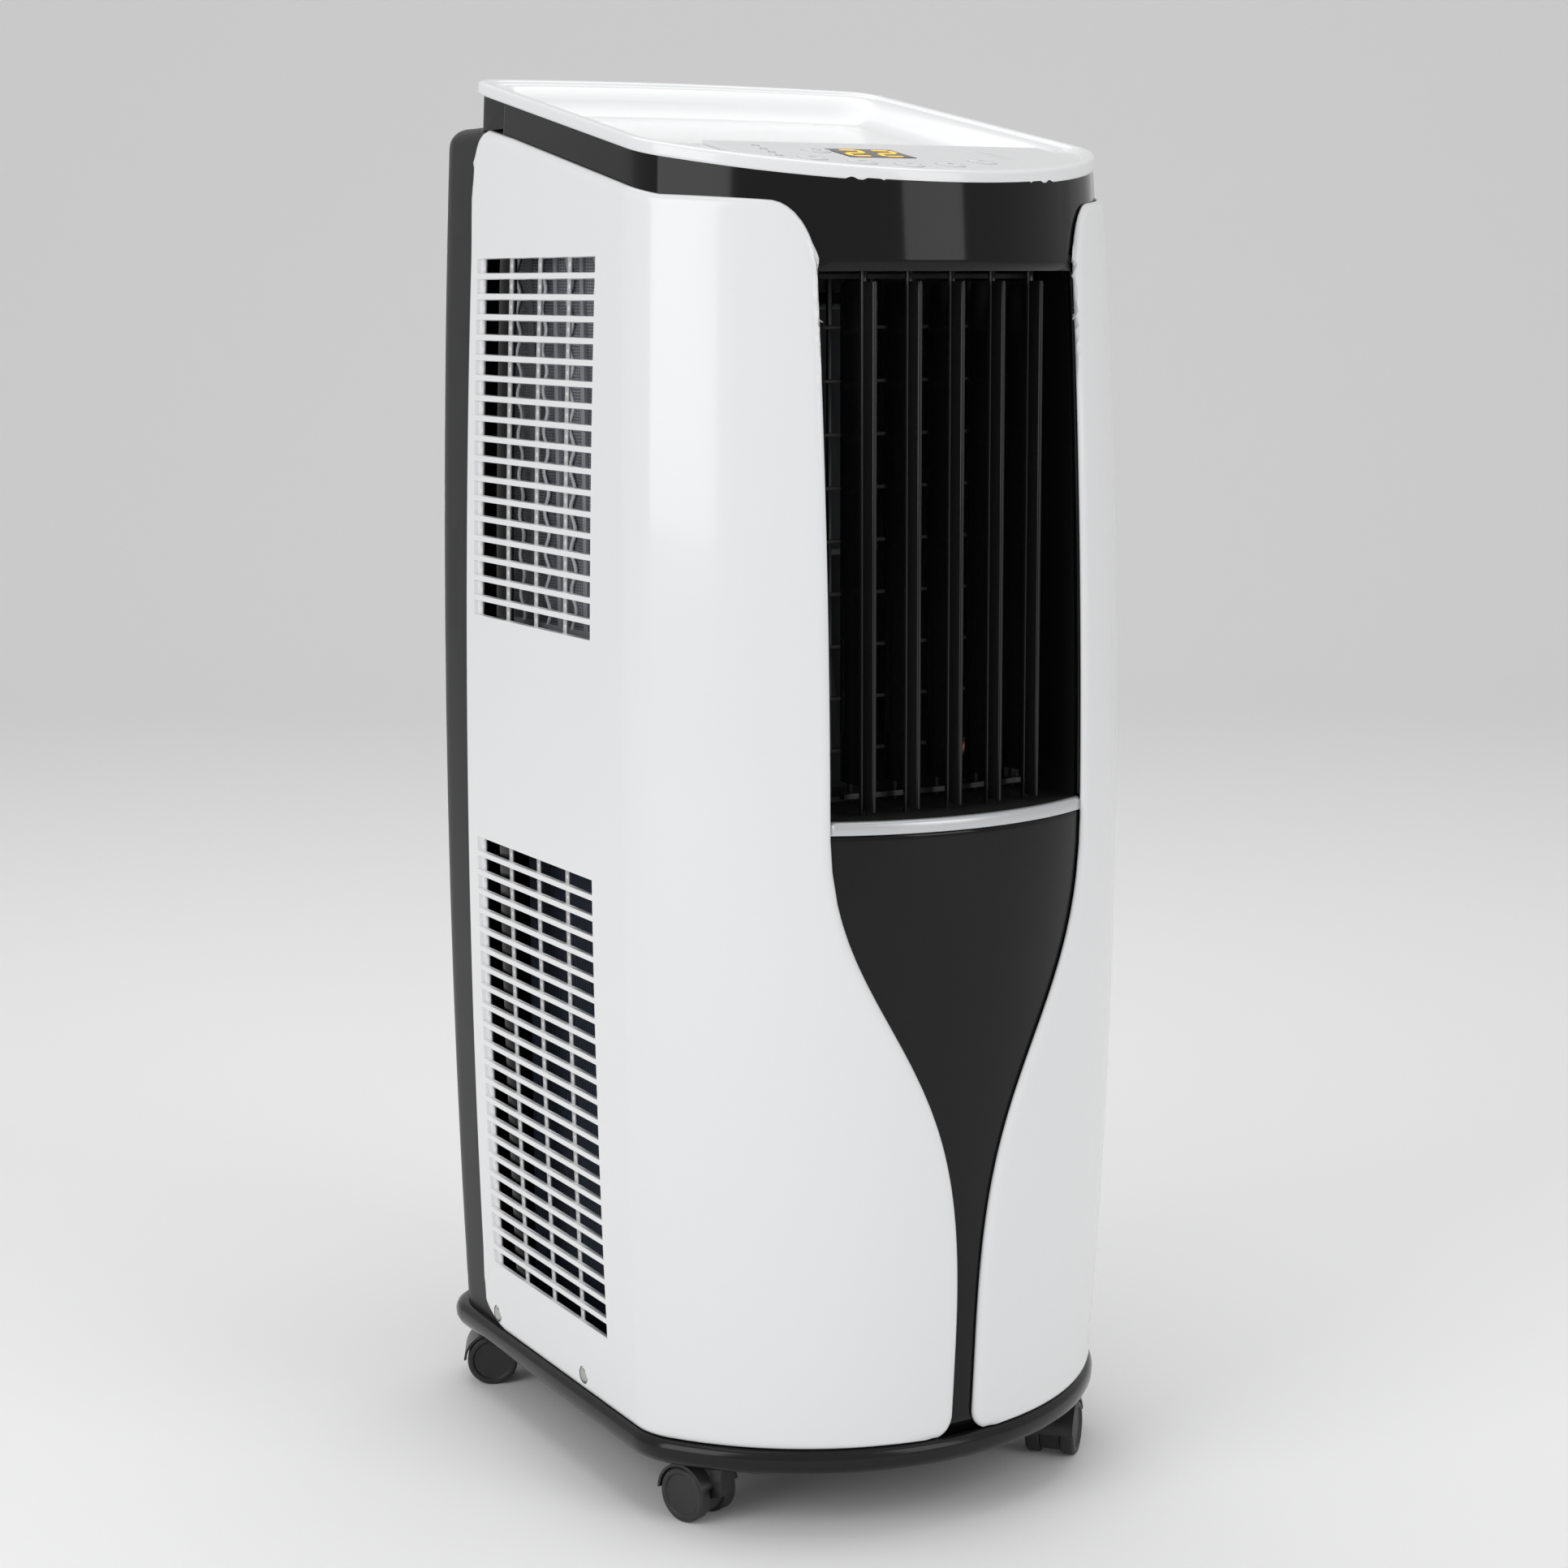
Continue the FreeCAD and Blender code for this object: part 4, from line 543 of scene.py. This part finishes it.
def lid_loop(sunk, count=(26, 10, 16, 12)):
    """Closed plan outline of the lid moved inwards: rear arc, corner, side and front by equal steps."""
    mid = np.full((1, 1), 728.0)
    plan = casing_plan(mid, -2.0 - sunk, back=132.0, corner=max(18.0 - sunk * 0.2, 8.0))
    cx, cy = (v[0, 0] for v in plan["bend"])
    corner = plan["corner"]
    rear_y, half_front = plan["rear_y"], count[3]
    inward = plan["inward"]
    away = math.atan2(cy - rear_y, cx)
    rear_x = np.linspace(0, 700 * math.cos(away), count[0] // 2)
    rear = np.stack([rear_x, rear_y + np.sqrt(700.0**2 - rear_x**2)], axis=-1)
    first, last = away % (2 * math.pi), math.atan2(-inward[1], -inward[0]) % (2 * math.pi)
    turn = np.linspace(first, last, count[1])[1:]
    bend = np.stack([cx + corner * np.cos(turn), cy + corner * np.sin(turn)], axis=-1)
    side_y = np.linspace(bend[-1, 1], plan["crease"][1][0, 0] - 42 * inward[1], count[2])[1:]
    side = np.stack([side_point(plan, side_y)[0][0], side_y], axis=-1)
    turns = np.linspace(0, 1, 12)[1:]
    crease = np.stack([v[0] for v in crease_point(plan, turns[None, :])], axis=-1)
    front_x = np.linspace(crease[-1, 0], 0, half_front + 1)[1:]
    front = np.stack([front_x, front_point(plan, front_x[None, :])[1][0]], axis=-1)
    half = np.concatenate([rear, bend, side, crease, front])
    return np.concatenate([half, half[-2:0:-1] * np.array([-1.0, 1.0])])


def soft_step(t):
    """Smooth step 3t^2 - 2t^3 of t held between 0 and 1."""
    t = np.clip(t, 0, 1)
    return t * t * (3 - 2 * t)


lid_rings = [lid_loop(sunk) for sunk in lid_steps]
lid_middle = np.array([0.0, 12.0])
shrink = np.array([0.95, 0.9, 0.84, 0.77, 0.69, 0.6, 0.5, 0.4, 0.3, 0.2, 0.1, 0.03])
lid_rings += [lid_middle + (lid_rings[-1] - lid_middle) * s for s in shrink]
lid_plan = np.stack(lid_rings)
heights = np.concatenate([lid_rise, np.full(len(shrink), 3.5)])[:, None] + 0 * lid_plan[..., 0]
inward_run = np.concatenate([lid_steps, 23 + 90 * (1 - shrink)])[:, None]
bowl = soft_step((inward_run - 8.6) / 24) * soft_step((lid_plan[..., 1] + 92.5) / 24)
heights = heights - 15.0 * bowl
lid_points = np.concatenate([lid_plan, (lid_level(lid_plan[..., 1]) + heights)[..., None]], axis=-1)
rings, spokes = lid_points.shape[:2]
lid_faces = [list(face) for face in grid_faces(rings, spokes, wrap=True)]
lid_faces.append([(rings - 1) * spokes + i for i in range(spokes)])
lid = lay_mesh("dished_lid", lid_points, [[0, 1, 2]], sharp=50)
lid.data.clear_geometry()
lid.data.from_pydata((lid_points.reshape(-1, 3) * 0.001).tolist(), [], lid_faces)
work = bmesh.new()
work.from_mesh(lid.data)
bmesh.ops.recalc_face_normals(work, faces=work.faces)
if sum(face.normal.z * face.calc_area() for face in work.faces) < 0:
    bmesh.ops.reverse_faces(work, faces=work.faces)
work.to_mesh(lid.data)
work.free()
lid.data.shade_smooth()
lid.data.set_sharp_from_angle(angle=math.radians(50))
thicken(lid, 1.4)
lid.data.materials.append(WHITE)
fit_piece(lid, "chassis", "white_gloss", "top_cover")

# ------------------------------------------------------------------ control plate and push buttons
# A thin satin membrane plate on the lid's land, with six round keys, four lamps, and a smoked
# window over an amber two-digit display.

TILT = math.atan(LID_SLOPE)


def on_lid(x, y, rise):
    """Points above the lid's lower plane: plan place (x, y) and height along the lid's normal."""
    x, y, rise = np.broadcast_arrays(np.asarray(x, float), y, rise)
    return np.stack([x, y - rise * math.sin(TILT), lid_level(y) + rise * math.cos(TILT)], axis=-1)


def dressed(node, body, slot, material, name=None, bevel=0.0, sharp=28):
    """A merged copy of a CAD piece, smooth where it is round, its sharp edges broken by a bevel in mm."""
    work = bmesh.new()
    work.from_mesh(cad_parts[node].data)
    bmesh.ops.remove_doubles(work, verts=work.verts, dist=2e-6)
    bmesh.ops.dissolve_degenerate(work, edges=work.edges, dist=1e-6)
    mesh = bpy.data.meshes.new(name or node + "_finished")
    work.to_mesh(mesh)
    work.free()
    mesh.materials.clear()
    mesh.materials.append(material)
    mesh.shade_smooth()
    mesh.set_sharp_from_angle(angle=math.radians(sharp))
    obj = bpy.data.objects.new(name or node + "_finished", mesh)
    bpy.context.scene.collection.objects.link(obj)
    if bevel:
        rounding = obj.modifiers.new("broken edges", "BEVEL")
        rounding.width = bevel * 0.001
        rounding.segments = 2
        rounding.limit_method = "ANGLE"
        rounding.angle_limit = math.radians(40)
        rounding.harden_normals = True
    return fit_piece(obj, body, slot, node)


KEY_WHITE = plastic("satin white membrane", (0.74, 0.745, 0.76), roughness=0.3, tone=0.02,
                    scale=1200.0, grain=0.06)
PLATE_WHITE = plastic("pale control plate", (0.78, 0.785, 0.8), roughness=0.2, coat=0.2, tone=0.02, dust=0.02)
dressed("control_panel", "chassis", "white_gloss", PLATE_WHITE, bevel=0.25)
KEYS = {"power": (-53, -120), "mode": (-70, -144), "fan_speed": (-47, -154.5),
        "cooler": (-23, -160.5), "warmer": (3.5, -158), "timer": (30.5, -147)}
for key in KEYS:
    dressed("button_" + key, "button_" + key, "white_gloss", KEY_WHITE, bevel=0.35)

INK = plastic("grey ink", (0.2, 0.2, 0.21), roughness=0.5)


def lid_marks(name, rings, rise, material):
    """Thin flat marks on the lid: each ring is a closed outline of (x, y) points, filled."""
    points, faces, base = [], [], 0
    for ring in rings:
        ring = np.asarray(ring, float)
        points.append(on_lid(ring[:, 0], ring[:, 1], rise))
        faces.append(list(range(base, base + len(ring))))
        base += len(ring)
    mesh = bpy.data.meshes.new(name)
    mesh.from_pydata((np.concatenate(points) * 0.001).tolist(), [], faces)
    work = bmesh.new()
    work.from_mesh(mesh)
    for face in work.faces:
        face.normal_update()
        if face.normal.z < 0:
            face.normal_flip()
    work.to_mesh(mesh)
    work.free()
    mesh.materials.append(material)
    obj = bpy.data.objects.new(name, mesh)
    bpy.context.scene.collection.objects.link(obj)
    return obj


def disc(x, y, radius, sides=10):
    """Outline of a small round mark."""
    angle = np.linspace(0, 2 * math.pi, sides, endpoint=False)
    return np.stack([x + radius * np.cos(angle), y + radius * np.sin(angle)], axis=-1)


def bar_mark(x0, y0, x1, y1, wide):
    """Outline of a straight stroke between two places."""
    run = np.array([x1 - x0, y1 - y0])
    run = run / np.linalg.norm(run)
    off = np.array([-run[1], run[0]]) * wide / 2
    ends = np.array([[x0, y0], [x1, y1]])
    return np.array([ends[0] - off, ends[1] - off, ends[1] + off, ends[0] + off])


def dotted_arc(x, y, radius, first, last, dots):
    """Small dots along an arc about a key."""
    angle = np.radians(np.linspace(first, last, dots))
    return [disc(x + radius * math.cos(a), y + radius * math.sin(a), 0.22, 6) for a in angle]


for key, (x, y) in KEYS.items():
    rings = dotted_arc(x, y, 5.9, 195, 345, 17)
    if key == "power":
        rings += [bar_mark(x, y + 0.6, x, y + 3.0, 0.5)]
        angle = np.radians(np.linspace(125, 415, 15))
        ring_points = np.stack([x + 2.3 * np.cos(angle), y + 2.3 * np.sin(angle)], axis=-1)
        rings += [bar_mark(*ring_points[i], *ring_points[i + 1], 0.45) for i in range(14)]
    elif key == "warmer":
        rings += [bar_mark(x - 2, y, x + 2, y, 0.5), bar_mark(x, y - 2, x, y + 2, 0.5)]
    elif key == "cooler":
        rings += [bar_mark(x - 2, y, x + 2, y, 0.5)]
    else:
        rings += [bar_mark(x - 2.2, y - 1, x + 2.2, y - 1, 0.4),
                  bar_mark(x - 2.2, y + 1, x + 1.2, y + 1, 0.4)]
    marks = lid_marks(key + "_key_marks", rings, 5.95, INK)
    fit_piece(marks, "button_" + key, "white_gloss")

lamp_rings = []
for x, y in ((-81, -107), (-82.5, -117.5), (-84, -128), (-86, -138.5)):
    outer = disc(x, y, 2.0, 18)
    inner = disc(x, y, 1.55, 18)
    lamp_rings += [np.array([outer[i], outer[(i + 1) % 18], inner[(i + 1) % 18], inner[i]])
                   for i in range(18)]
for x, y in ((55, -118), (55, -126), (55, -134)):
    lamp_rings += [bar_mark(x - 5, y, x + 5, y, 0.3)]
lamps = lid_marks("lamp_rings", lamp_rings, 5.56, INK)
fit_piece(lamps, "chassis", "white_gloss")

SMOKED = plastic("smoked window", (0.003, 0.003, 0.003), roughness=0.12, tone=0.1, specular=0.2)
dressed("display_window", "chassis", "display_glass", SMOKED, bevel=0.2)


def digit_rings(x, y, wide, tall, stroke, lit):
    """Outlines of the lit bars of one seven-bar digit, leaning six degrees: a..g clockwise from the top."""
    gap, half = 0.35, stroke / 2
    places = {"a": (0, tall, wide, tall), "b": (wide, tall, wide, tall / 2),
              "c": (wide, tall / 2, wide, 0), "d": (0, 0, wide, 0), "e": (0, 0, 0, tall / 2),
              "f": (0, tall / 2, 0, tall), "g": (0, tall / 2, wide, tall / 2)}
    rings = []
    for bar in lit:
        a = np.array(places[bar], float).reshape(2, 2)
        run = (a[1] - a[0]) / np.linalg.norm(a[1] - a[0])
        off = np.array([-run[1], run[0]]) * half
        p, q = a[0] + run * gap, a[1] - run * gap
        ring = np.array([p, p + run * half + off, q - run * half + off, q,
                         q - run * half - off, p + run * half - off])
        ring[:, 0] += ring[:, 1] * 0.105
        rings.append(ring + np.array([x, y]))
    return rings


AMBER = bpy.data.materials.new("amber digits")
AMBER.use_nodes = True
amber_shader = AMBER.node_tree.nodes["Principled BSDF"]
amber_cells = AMBER.node_tree.nodes.new("ShaderNodeTexVoronoi")
amber_cells.inputs["Scale"].default_value = 900.0
amber_place = AMBER.node_tree.nodes.new("ShaderNodeTexCoord")
amber_ramp = AMBER.node_tree.nodes.new("ShaderNodeValToRGB")
amber_ramp.color_ramp.elements[0].color = (1.0, 0.6, 0.03, 1)
amber_ramp.color_ramp.elements[1].color = (0.75, 0.33, 0.0, 1)
AMBER.node_tree.links.new(amber_place.outputs["Object"], amber_cells.inputs["Vector"])
AMBER.node_tree.links.new(amber_cells.outputs["Distance"], amber_ramp.inputs["Fac"])
AMBER.node_tree.links.new(amber_ramp.outputs["Color"], amber_shader.inputs["Base Color"])
AMBER.node_tree.links.new(amber_ramp.outputs["Color"], amber_shader.inputs["Emission Color"])
amber_shader.inputs["Emission Strength"].default_value = 0.9
reading = (digit_rings(-40.5, -135.5, 11.5, 18, 3.0, "abged")
           + digit_rings(-21, -135.5, 11.5, 18, 3.0, "abged"))
digits = lid_marks("amber_reading", reading, 5.68, AMBER)
fit_piece(digits, "chassis", "display_glass")

# ------------------------------------------------------------------ rear housing and base tray
# The rear half is one dark grey moulding with a fine spark-eroded texture; the base is a gloss
# black pan whose rolled rim stands proud all round.

GREY = plastic("dark grey textured plastic", (0.009, 0.0092, 0.01), roughness=0.42, tone=0.25, scale=1400.0,
               grain=0.25, dust=0.008, specular=0.3)
SATIN = plastic("satin black plastic", (0.012, 0.012, 0.0125), roughness=0.34, tone=0.3,
                scale=1200.0, grain=0.15)
RIM = plastic("gloss black pan", (0.005, 0.005, 0.0055), roughness=0.2, coat=0.08, tone=0.3,
              dust=0.006, specular=0.3)
dressed("rear_housing", "chassis", "grey_housing", GREY, sharp=32)
dressed("base_tray", "chassis", "black_satin", RIM, sharp=42)
dressed("exhaust_collar", "chassis", "black_satin", SATIN, bevel=0.8)
dressed("cord_hooks", "chassis", "black_satin", SATIN, bevel=0.8)
dressed("cord_gland", "chassis", "black_satin", SATIN, bevel=0.4)
dressed("drain_spigots", "chassis", "black_satin", SATIN, bevel=0.3)
RUBBER = plastic("black rubber", (0.015, 0.015, 0.015), roughness=0.65, tone=0.3, scale=700.0, grain=0.3)
for level in ("lower", "upper"):
    dressed("drain_cap_" + level, "drain_cap_" + level, "black_rubber", RUBBER, bevel=0.6)
dressed("compressor_feet", "chassis", "black_rubber", RUBBER, bevel=0.5)
STEEL = plastic("plated steel", (0.42, 0.42, 0.41), roughness=0.3, metallic=1.0, tone=0.1,
                scale=800.0, grain=0.1)
dressed("case_screws", "chassis", "screw_steel", STEEL, bevel=0.3)

# ------------------------------------------------------------------ outlet: duct, guard, foam, louvres
# Five upright satin louvres swing in front of a black guard grid; a bar low down links them.

DUCT = plastic("black duct plastic", (0.006, 0.006, 0.006), roughness=0.45, tone=0.4, dust=0.01)
LOUVRE = plastic("louvre plastic", (0.011, 0.011, 0.0115), roughness=0.24, tone=0.5, scale=600.0, grain=0.2)
dressed("air_duct", "chassis", "black_satin", DUCT)
dressed("outlet_guard", "chassis", "black_satin", DUCT, bevel=0.4)
dressed("louver_link_bar", "louver_link_bar", "black_satin", LOUVRE, bevel=0.4)
FOAM = plastic("grey foam strip", (0.34, 0.34, 0.345), roughness=0.9, tone=0.25, scale=900.0, grain=0.9)
dressed("duct_foam", "chassis", "foam_grey", FOAM, bevel=0.4)
for number in range(1, 6):
    label = "louver_blade_%d" % number
    dressed(label, label, "black_satin", LOUVRE, bevel=0.3)
    low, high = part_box(label)
    middle, nose = (low.x + high.x) * 500, low.y * 1000
    half_bead = [(1.15, 1.2), (1.15, 0.25), (0.85, 0.0), (0.6, 0.25), (0.55, 0.55), (0.3, 0.55), (0.22, 0.15)]
    beads = [(-x, y) for x, y in half_bead] + [(0.0, -0.05)] + half_bead[::-1]
    section = np.array(beads) + np.array([middle, nose])
    bead_points = np.stack([np.concatenate([section, np.full((len(section), 1), z)], axis=-1)
                            for z in (388.3, 389.2, 655.0, 655.8)])
    bead_points[0, :, 1] += 0.8
    bead_points[-1, :, 1] += 0.8
    bead = lay_mesh("louvre_%d_nose_beads" % number, bead_points,
                    grid_faces(4, len(section))[:, ::-1], sharp=60)
    bead.data.materials.append(LOUVRE)
    fit_piece(bead, label, "black_satin")

# ------------------------------------------------------------------ filters and coils behind the grilles
# Upper grilles: a slide-in frame with a bright metallised mesh over wavy white ribs.  Lower
# grilles: the hot coil's dark blue fins; the coil's pale tube clips are not drawn.

FILTER = plastic("filter frame plastic", (0.3, 0.31, 0.33), roughness=0.45)
RIB_WHITE = plastic("white filter rib", (0.7, 0.71, 0.73), roughness=0.4)


def mesh_cloth():
    """Metallised mesh: two crossed fine waves set the tone, the sheen and the holes between wires, which are
    painted near-black as a painted shade for the dark inside seen through them.
    """
    material = bpy.data.materials.new("metallised mesh")
    material.use_nodes = True
    nodes, links = material.node_tree.nodes, material.node_tree.links
    shader = nodes["Principled BSDF"]
    place = nodes.new("ShaderNodeTexCoord")
    waves = []
    for axis in ("Y", "Z"):
        wave = nodes.new("ShaderNodeTexWave")
        wave.bands_direction = axis
        wave.inputs["Scale"].default_value = 190.0
        wave.inputs["Distortion"].default_value = 0.6
        links.new(place.outputs["Object"], wave.inputs["Vector"])
        waves.append(wave)
    both = nodes.new("ShaderNodeMath")
    both.operation = "MAXIMUM"
    links.new(waves[0].outputs["Fac"], both.inputs[0])
    links.new(waves[1].outputs["Fac"], both.inputs[1])
    ramp = nodes.new("ShaderNodeValToRGB")
    ramp.color_ramp.elements[0].position = 0.45
    # painted shade: the holes between the wires are near-black in place of the shaded inside behind them
    ramp.color_ramp.elements[0].color = (0.03, 0.032, 0.036, 1)
    ramp.color_ramp.elements[1].position = 0.8
    ramp.color_ramp.elements[1].color = (0.42, 0.44, 0.47, 1)
    links.new(both.outputs[0], ramp.inputs["Fac"])
    links.new(ramp.outputs["Color"], shader.inputs["Base Color"])
    links.new(both.outputs[0], shader.inputs["Metallic"])
    bump = nodes.new("ShaderNodeBump")
    bump.inputs["Distance"].default_value = 0.0004
    bump.inputs["Strength"].default_value = 0.54
    links.new(both.outputs[0], bump.inputs["Height"])
    links.new(bump.outputs["Normal"], shader.inputs["Normal"])
    shader.inputs["Roughness"].default_value = 0.35
    return material


MESH = mesh_cloth()
for side, hand in (("left", -1.0), ("right", 1.0)):
    label = "filter_" + side
    dressed(label, label, "filter_grey", FILTER, bevel=0.3)
    y, z = np.linspace(-52, 100, 77), np.linspace(468, 670, 60)
    z, y = np.meshgrid(z, y, indexing="ij")
    billow = 0.55 * np.sin(y * 0.21) * np.sin(z * 0.05)
    cloth_points = np.stack([hand * (119.3 + billow), y, z], axis=-1)
    cloth_faces = grid_faces(60, 77)
    cloth_faces = cloth_faces if hand < 0 else cloth_faces[:, ::-1]
    cloth = lay_mesh(label + "_mesh", cloth_points, cloth_faces, sharp=180)
    cloth.data.materials.append(MESH)
    fit_piece(cloth, label, "filter_grey")
    for rib in range(5):
        z_rib = np.linspace(467, 671, 120)
        y_rib = -40 + 31.5 * rib + 2.6 * np.sin(z_rib * 2 * math.pi / 22.3 + rib)
        ring = np.radians(np.arange(0, 360, 60))
        tube_points = np.stack([hand * (120.2 + 0.9 * np.cos(ring)[None, :]) + 0 * z_rib[:, None],
                                y_rib[:, None] + 1.7 * np.sin(ring)[None, :],
                                z_rib[:, None] + 0 * ring[None, :]], axis=-1)
        tube_faces = grid_faces(120, 6, wrap=True)
        tube_faces = tube_faces if hand < 0 else tube_faces[:, ::-1]
        wavy = lay_mesh("%s_rib_%d" % (label, rib), tube_points, tube_faces, sharp=180)
        wavy.data.materials.append(RIB_WHITE)
        fit_piece(wavy, label, "filter_grey")


def fin_pack(name, colour, metallic):
    """Finned coil: a fine wave up the height bumps the gaps between the fins and paints them dark, a painted
    shade for the shadow deep between the fins.
    """
    material = bpy.data.materials.new(name)
    material.use_nodes = True
    nodes, links = material.node_tree.nodes, material.node_tree.links
    shader = nodes["Principled BSDF"]
    place = nodes.new("ShaderNodeTexCoord")
    wave = nodes.new("ShaderNodeTexWave")
    wave.bands_direction = "Y"
    wave.inputs["Scale"].default_value = 150.0
    links.new(place.outputs["Object"], wave.inputs["Vector"])
    ramp = nodes.new("ShaderNodeValToRGB")
    # painted shade: the gaps between the fins get the fin colour dimmed to 12 percent
    ramp.color_ramp.elements[0].color = (colour[0] * 0.12, colour[1] * 0.12, colour[2] * 0.14, 1)
    ramp.color_ramp.elements[1].color = (*colour, 1)
    links.new(wave.outputs["Fac"], ramp.inputs["Fac"])
    links.new(ramp.outputs["Color"], shader.inputs["Base Color"])
    bump = nodes.new("ShaderNodeBump")
    bump.inputs["Distance"].default_value = 0.0006
    links.new(wave.outputs["Fac"], bump.inputs["Height"])
    links.new(bump.outputs["Normal"], shader.inputs["Normal"])
    shader.inputs["Metallic"].default_value = metallic
    shader.inputs["Roughness"].default_value = 0.38
    return material


dressed("evaporator_coil", "chassis", "fin_aluminium", fin_pack("bare fins", (0.5, 0.52, 0.55), 0.9))
dressed("condenser_coil", "chassis", "fin_aluminium", fin_pack("blue coated fins", (0.05, 0.07, 0.1), 0.5))

# ------------------------------------------------------------------ cooling works inside
# The compressor, pipes, fans, motors, trays and the electrical box, seen through the openings.

ENAMEL = plastic("black enamel", (0.012, 0.012, 0.013), roughness=0.28, tone=0.2)
COPPER = plastic("drawn copper", (0.62, 0.28, 0.16), roughness=0.28, metallic=1.0, tone=0.3, scale=500.0)
TRAY = plastic("grey foam tray", (0.42, 0.43, 0.44), roughness=0.7, scale=400.0, grain=0.4)
FAN = plastic("grey fan plastic", (0.08, 0.085, 0.09), roughness=0.4)
BOARD = plastic("green board", (0.012, 0.09, 0.035), roughness=0.35)
for node, material, slot, bevel in (
        ("compressor", ENAMEL, "tank_black", 0.8), ("accumulator", ENAMEL, "tank_black", 0.0),
        ("refrigerant_pipes", COPPER, "copper_pipe", 0.0), ("partition_tray", TRAY, "tray_white", 0.0),
        ("condenser_fan_housing", TRAY, "tray_white", 0.6), ("control_board", BOARD, "board_green", 0.2),
        ("evaporator_fan_motor", STEEL, "motor_steel", 1.0),
        ("condenser_fan_motor", STEEL, "motor_steel", 1.0),
        ("splash_motor", STEEL, "motor_steel", 0.6), ("swing_motor", STEEL, "motor_steel", 0.8),
        ("electrical_box", STEEL, "motor_steel", 0.8)):
    dressed(node, "chassis", slot, material, bevel=bevel)
for node in ("evaporator_fan", "condenser_fan", "splash_wheel", "float_arm"):
    dressed(node, node, "fan_grey", FAN)

# ------------------------------------------------------------------ twin-wheel casters
# Four black nylon furniture casters: a shroud over two wheels on one axle, swivelling on a stem.

NYLON = plastic("black nylon", (0.014, 0.014, 0.015), roughness=0.36, tone=0.3, scale=900.0,
                grain=0.2, dust=0.04)
TREAD = plastic("worn nylon tread", (0.02, 0.02, 0.021), roughness=0.5, tone=0.4, scale=500.0,
                grain=0.5, dust=0.04)
for corner in ("front_left", "front_right", "rear_left", "rear_right"):
    dressed("caster_fork_" + corner, "caster_fork_" + corner, "wheel_black", NYLON, bevel=0.5)
    dressed("caster_wheels_" + corner, "caster_wheels_" + corner, "wheel_black", TREAD, bevel=0.3)

# ------------------------------------------------------------------ light, floor and camera
# A plain pale floor that curves up behind, two large soft boxes and a weak fill from above.

stage_turn = np.linspace(0, math.pi / 2, 13)
stage_run = np.concatenate([[-6.0, 3.0], 3.0 + 1.5 * np.sin(stage_turn[1:]), [4.5]])
stage_rise = np.concatenate([[0.0, 0.0], 1.5 - 1.5 * np.cos(stage_turn[1:]), [7.0]])
turned_run = math.radians(31.07)
stage_points = np.array([[[side * math.cos(turned_run) + run * math.sin(turned_run),
                           -side * math.sin(turned_run) + run * math.cos(turned_run), rise]
                          for side in (-8.0, 8.0)] for run, rise in zip(stage_run, stage_rise)])
backdrop = lay_mesh("backdrop", stage_points * 1000, grid_faces(len(stage_run), 2), sharp=180)
paper = bpy.data.materials.new("pale paper")
paper.use_nodes = True
paper.node_tree.nodes["Principled BSDF"].inputs["Base Color"].default_value = (0.9, 0.9, 0.9, 1)
paper.node_tree.nodes["Principled BSDF"].inputs["Roughness"].default_value = 0.8
backdrop.data.materials.append(paper)


def soft_box(name, place, aim, wide, tall, power):
    """An area light that faces a point."""
    lamp = bpy.data.lights.new(name, "AREA")
    lamp.shape = "RECTANGLE"
    lamp.size, lamp.size_y, lamp.energy = wide, tall, power
    obj = bpy.data.objects.new(name, lamp)
    obj.location = place
    obj.rotation_euler = (Vector(aim) - Vector(place)).to_track_quat("-Z", "Y").to_euler()
    bpy.context.scene.collection.objects.link(obj)


soft_box("side box", (-2.6, -0.6, 1.5), (0, 0, 0.4), 1.6, 2.2, 25)
soft_box("front box", (0.9, -2.6, 1.7), (0, 0, 0.4), 1.3, 2.2, 16)
soft_box("top box", (0.2, 0.6, 2.8), (0, 0, 0.5), 2.2, 2.2, 24)
world = bpy.data.worlds.new("pale room")
bpy.context.scene.world = world
world.use_nodes = True
world.node_tree.nodes["Background"].inputs["Color"].default_value = (1, 1, 1, 1)
world.node_tree.nodes["Background"].inputs["Strength"].default_value = 0.54
bpy.context.scene.view_settings.view_transform = "Standard"

eye = bpy.data.cameras.new("camera")
eye.sensor_width = 36.0
eye.lens = 71.4
camera = bpy.data.objects.new("camera", eye)
bpy.context.scene.collection.objects.link(camera)
turn, dip, roll = math.radians(31.07), math.radians(9.18), math.radians(-0.17)
ahead = Vector((math.sin(turn) * math.cos(dip), math.cos(turn) * math.cos(dip), -math.sin(dip)))
camera.location = (-0.898, -1.490, 0.656)
camera.rotation_mode = "QUATERNION"
camera.rotation_quaternion = (Matrix.Rotation(-roll, 3, ahead).to_quaternion()
                              @ ahead.to_track_quat("-Z", "Y"))
bpy.context.scene.camera = camera
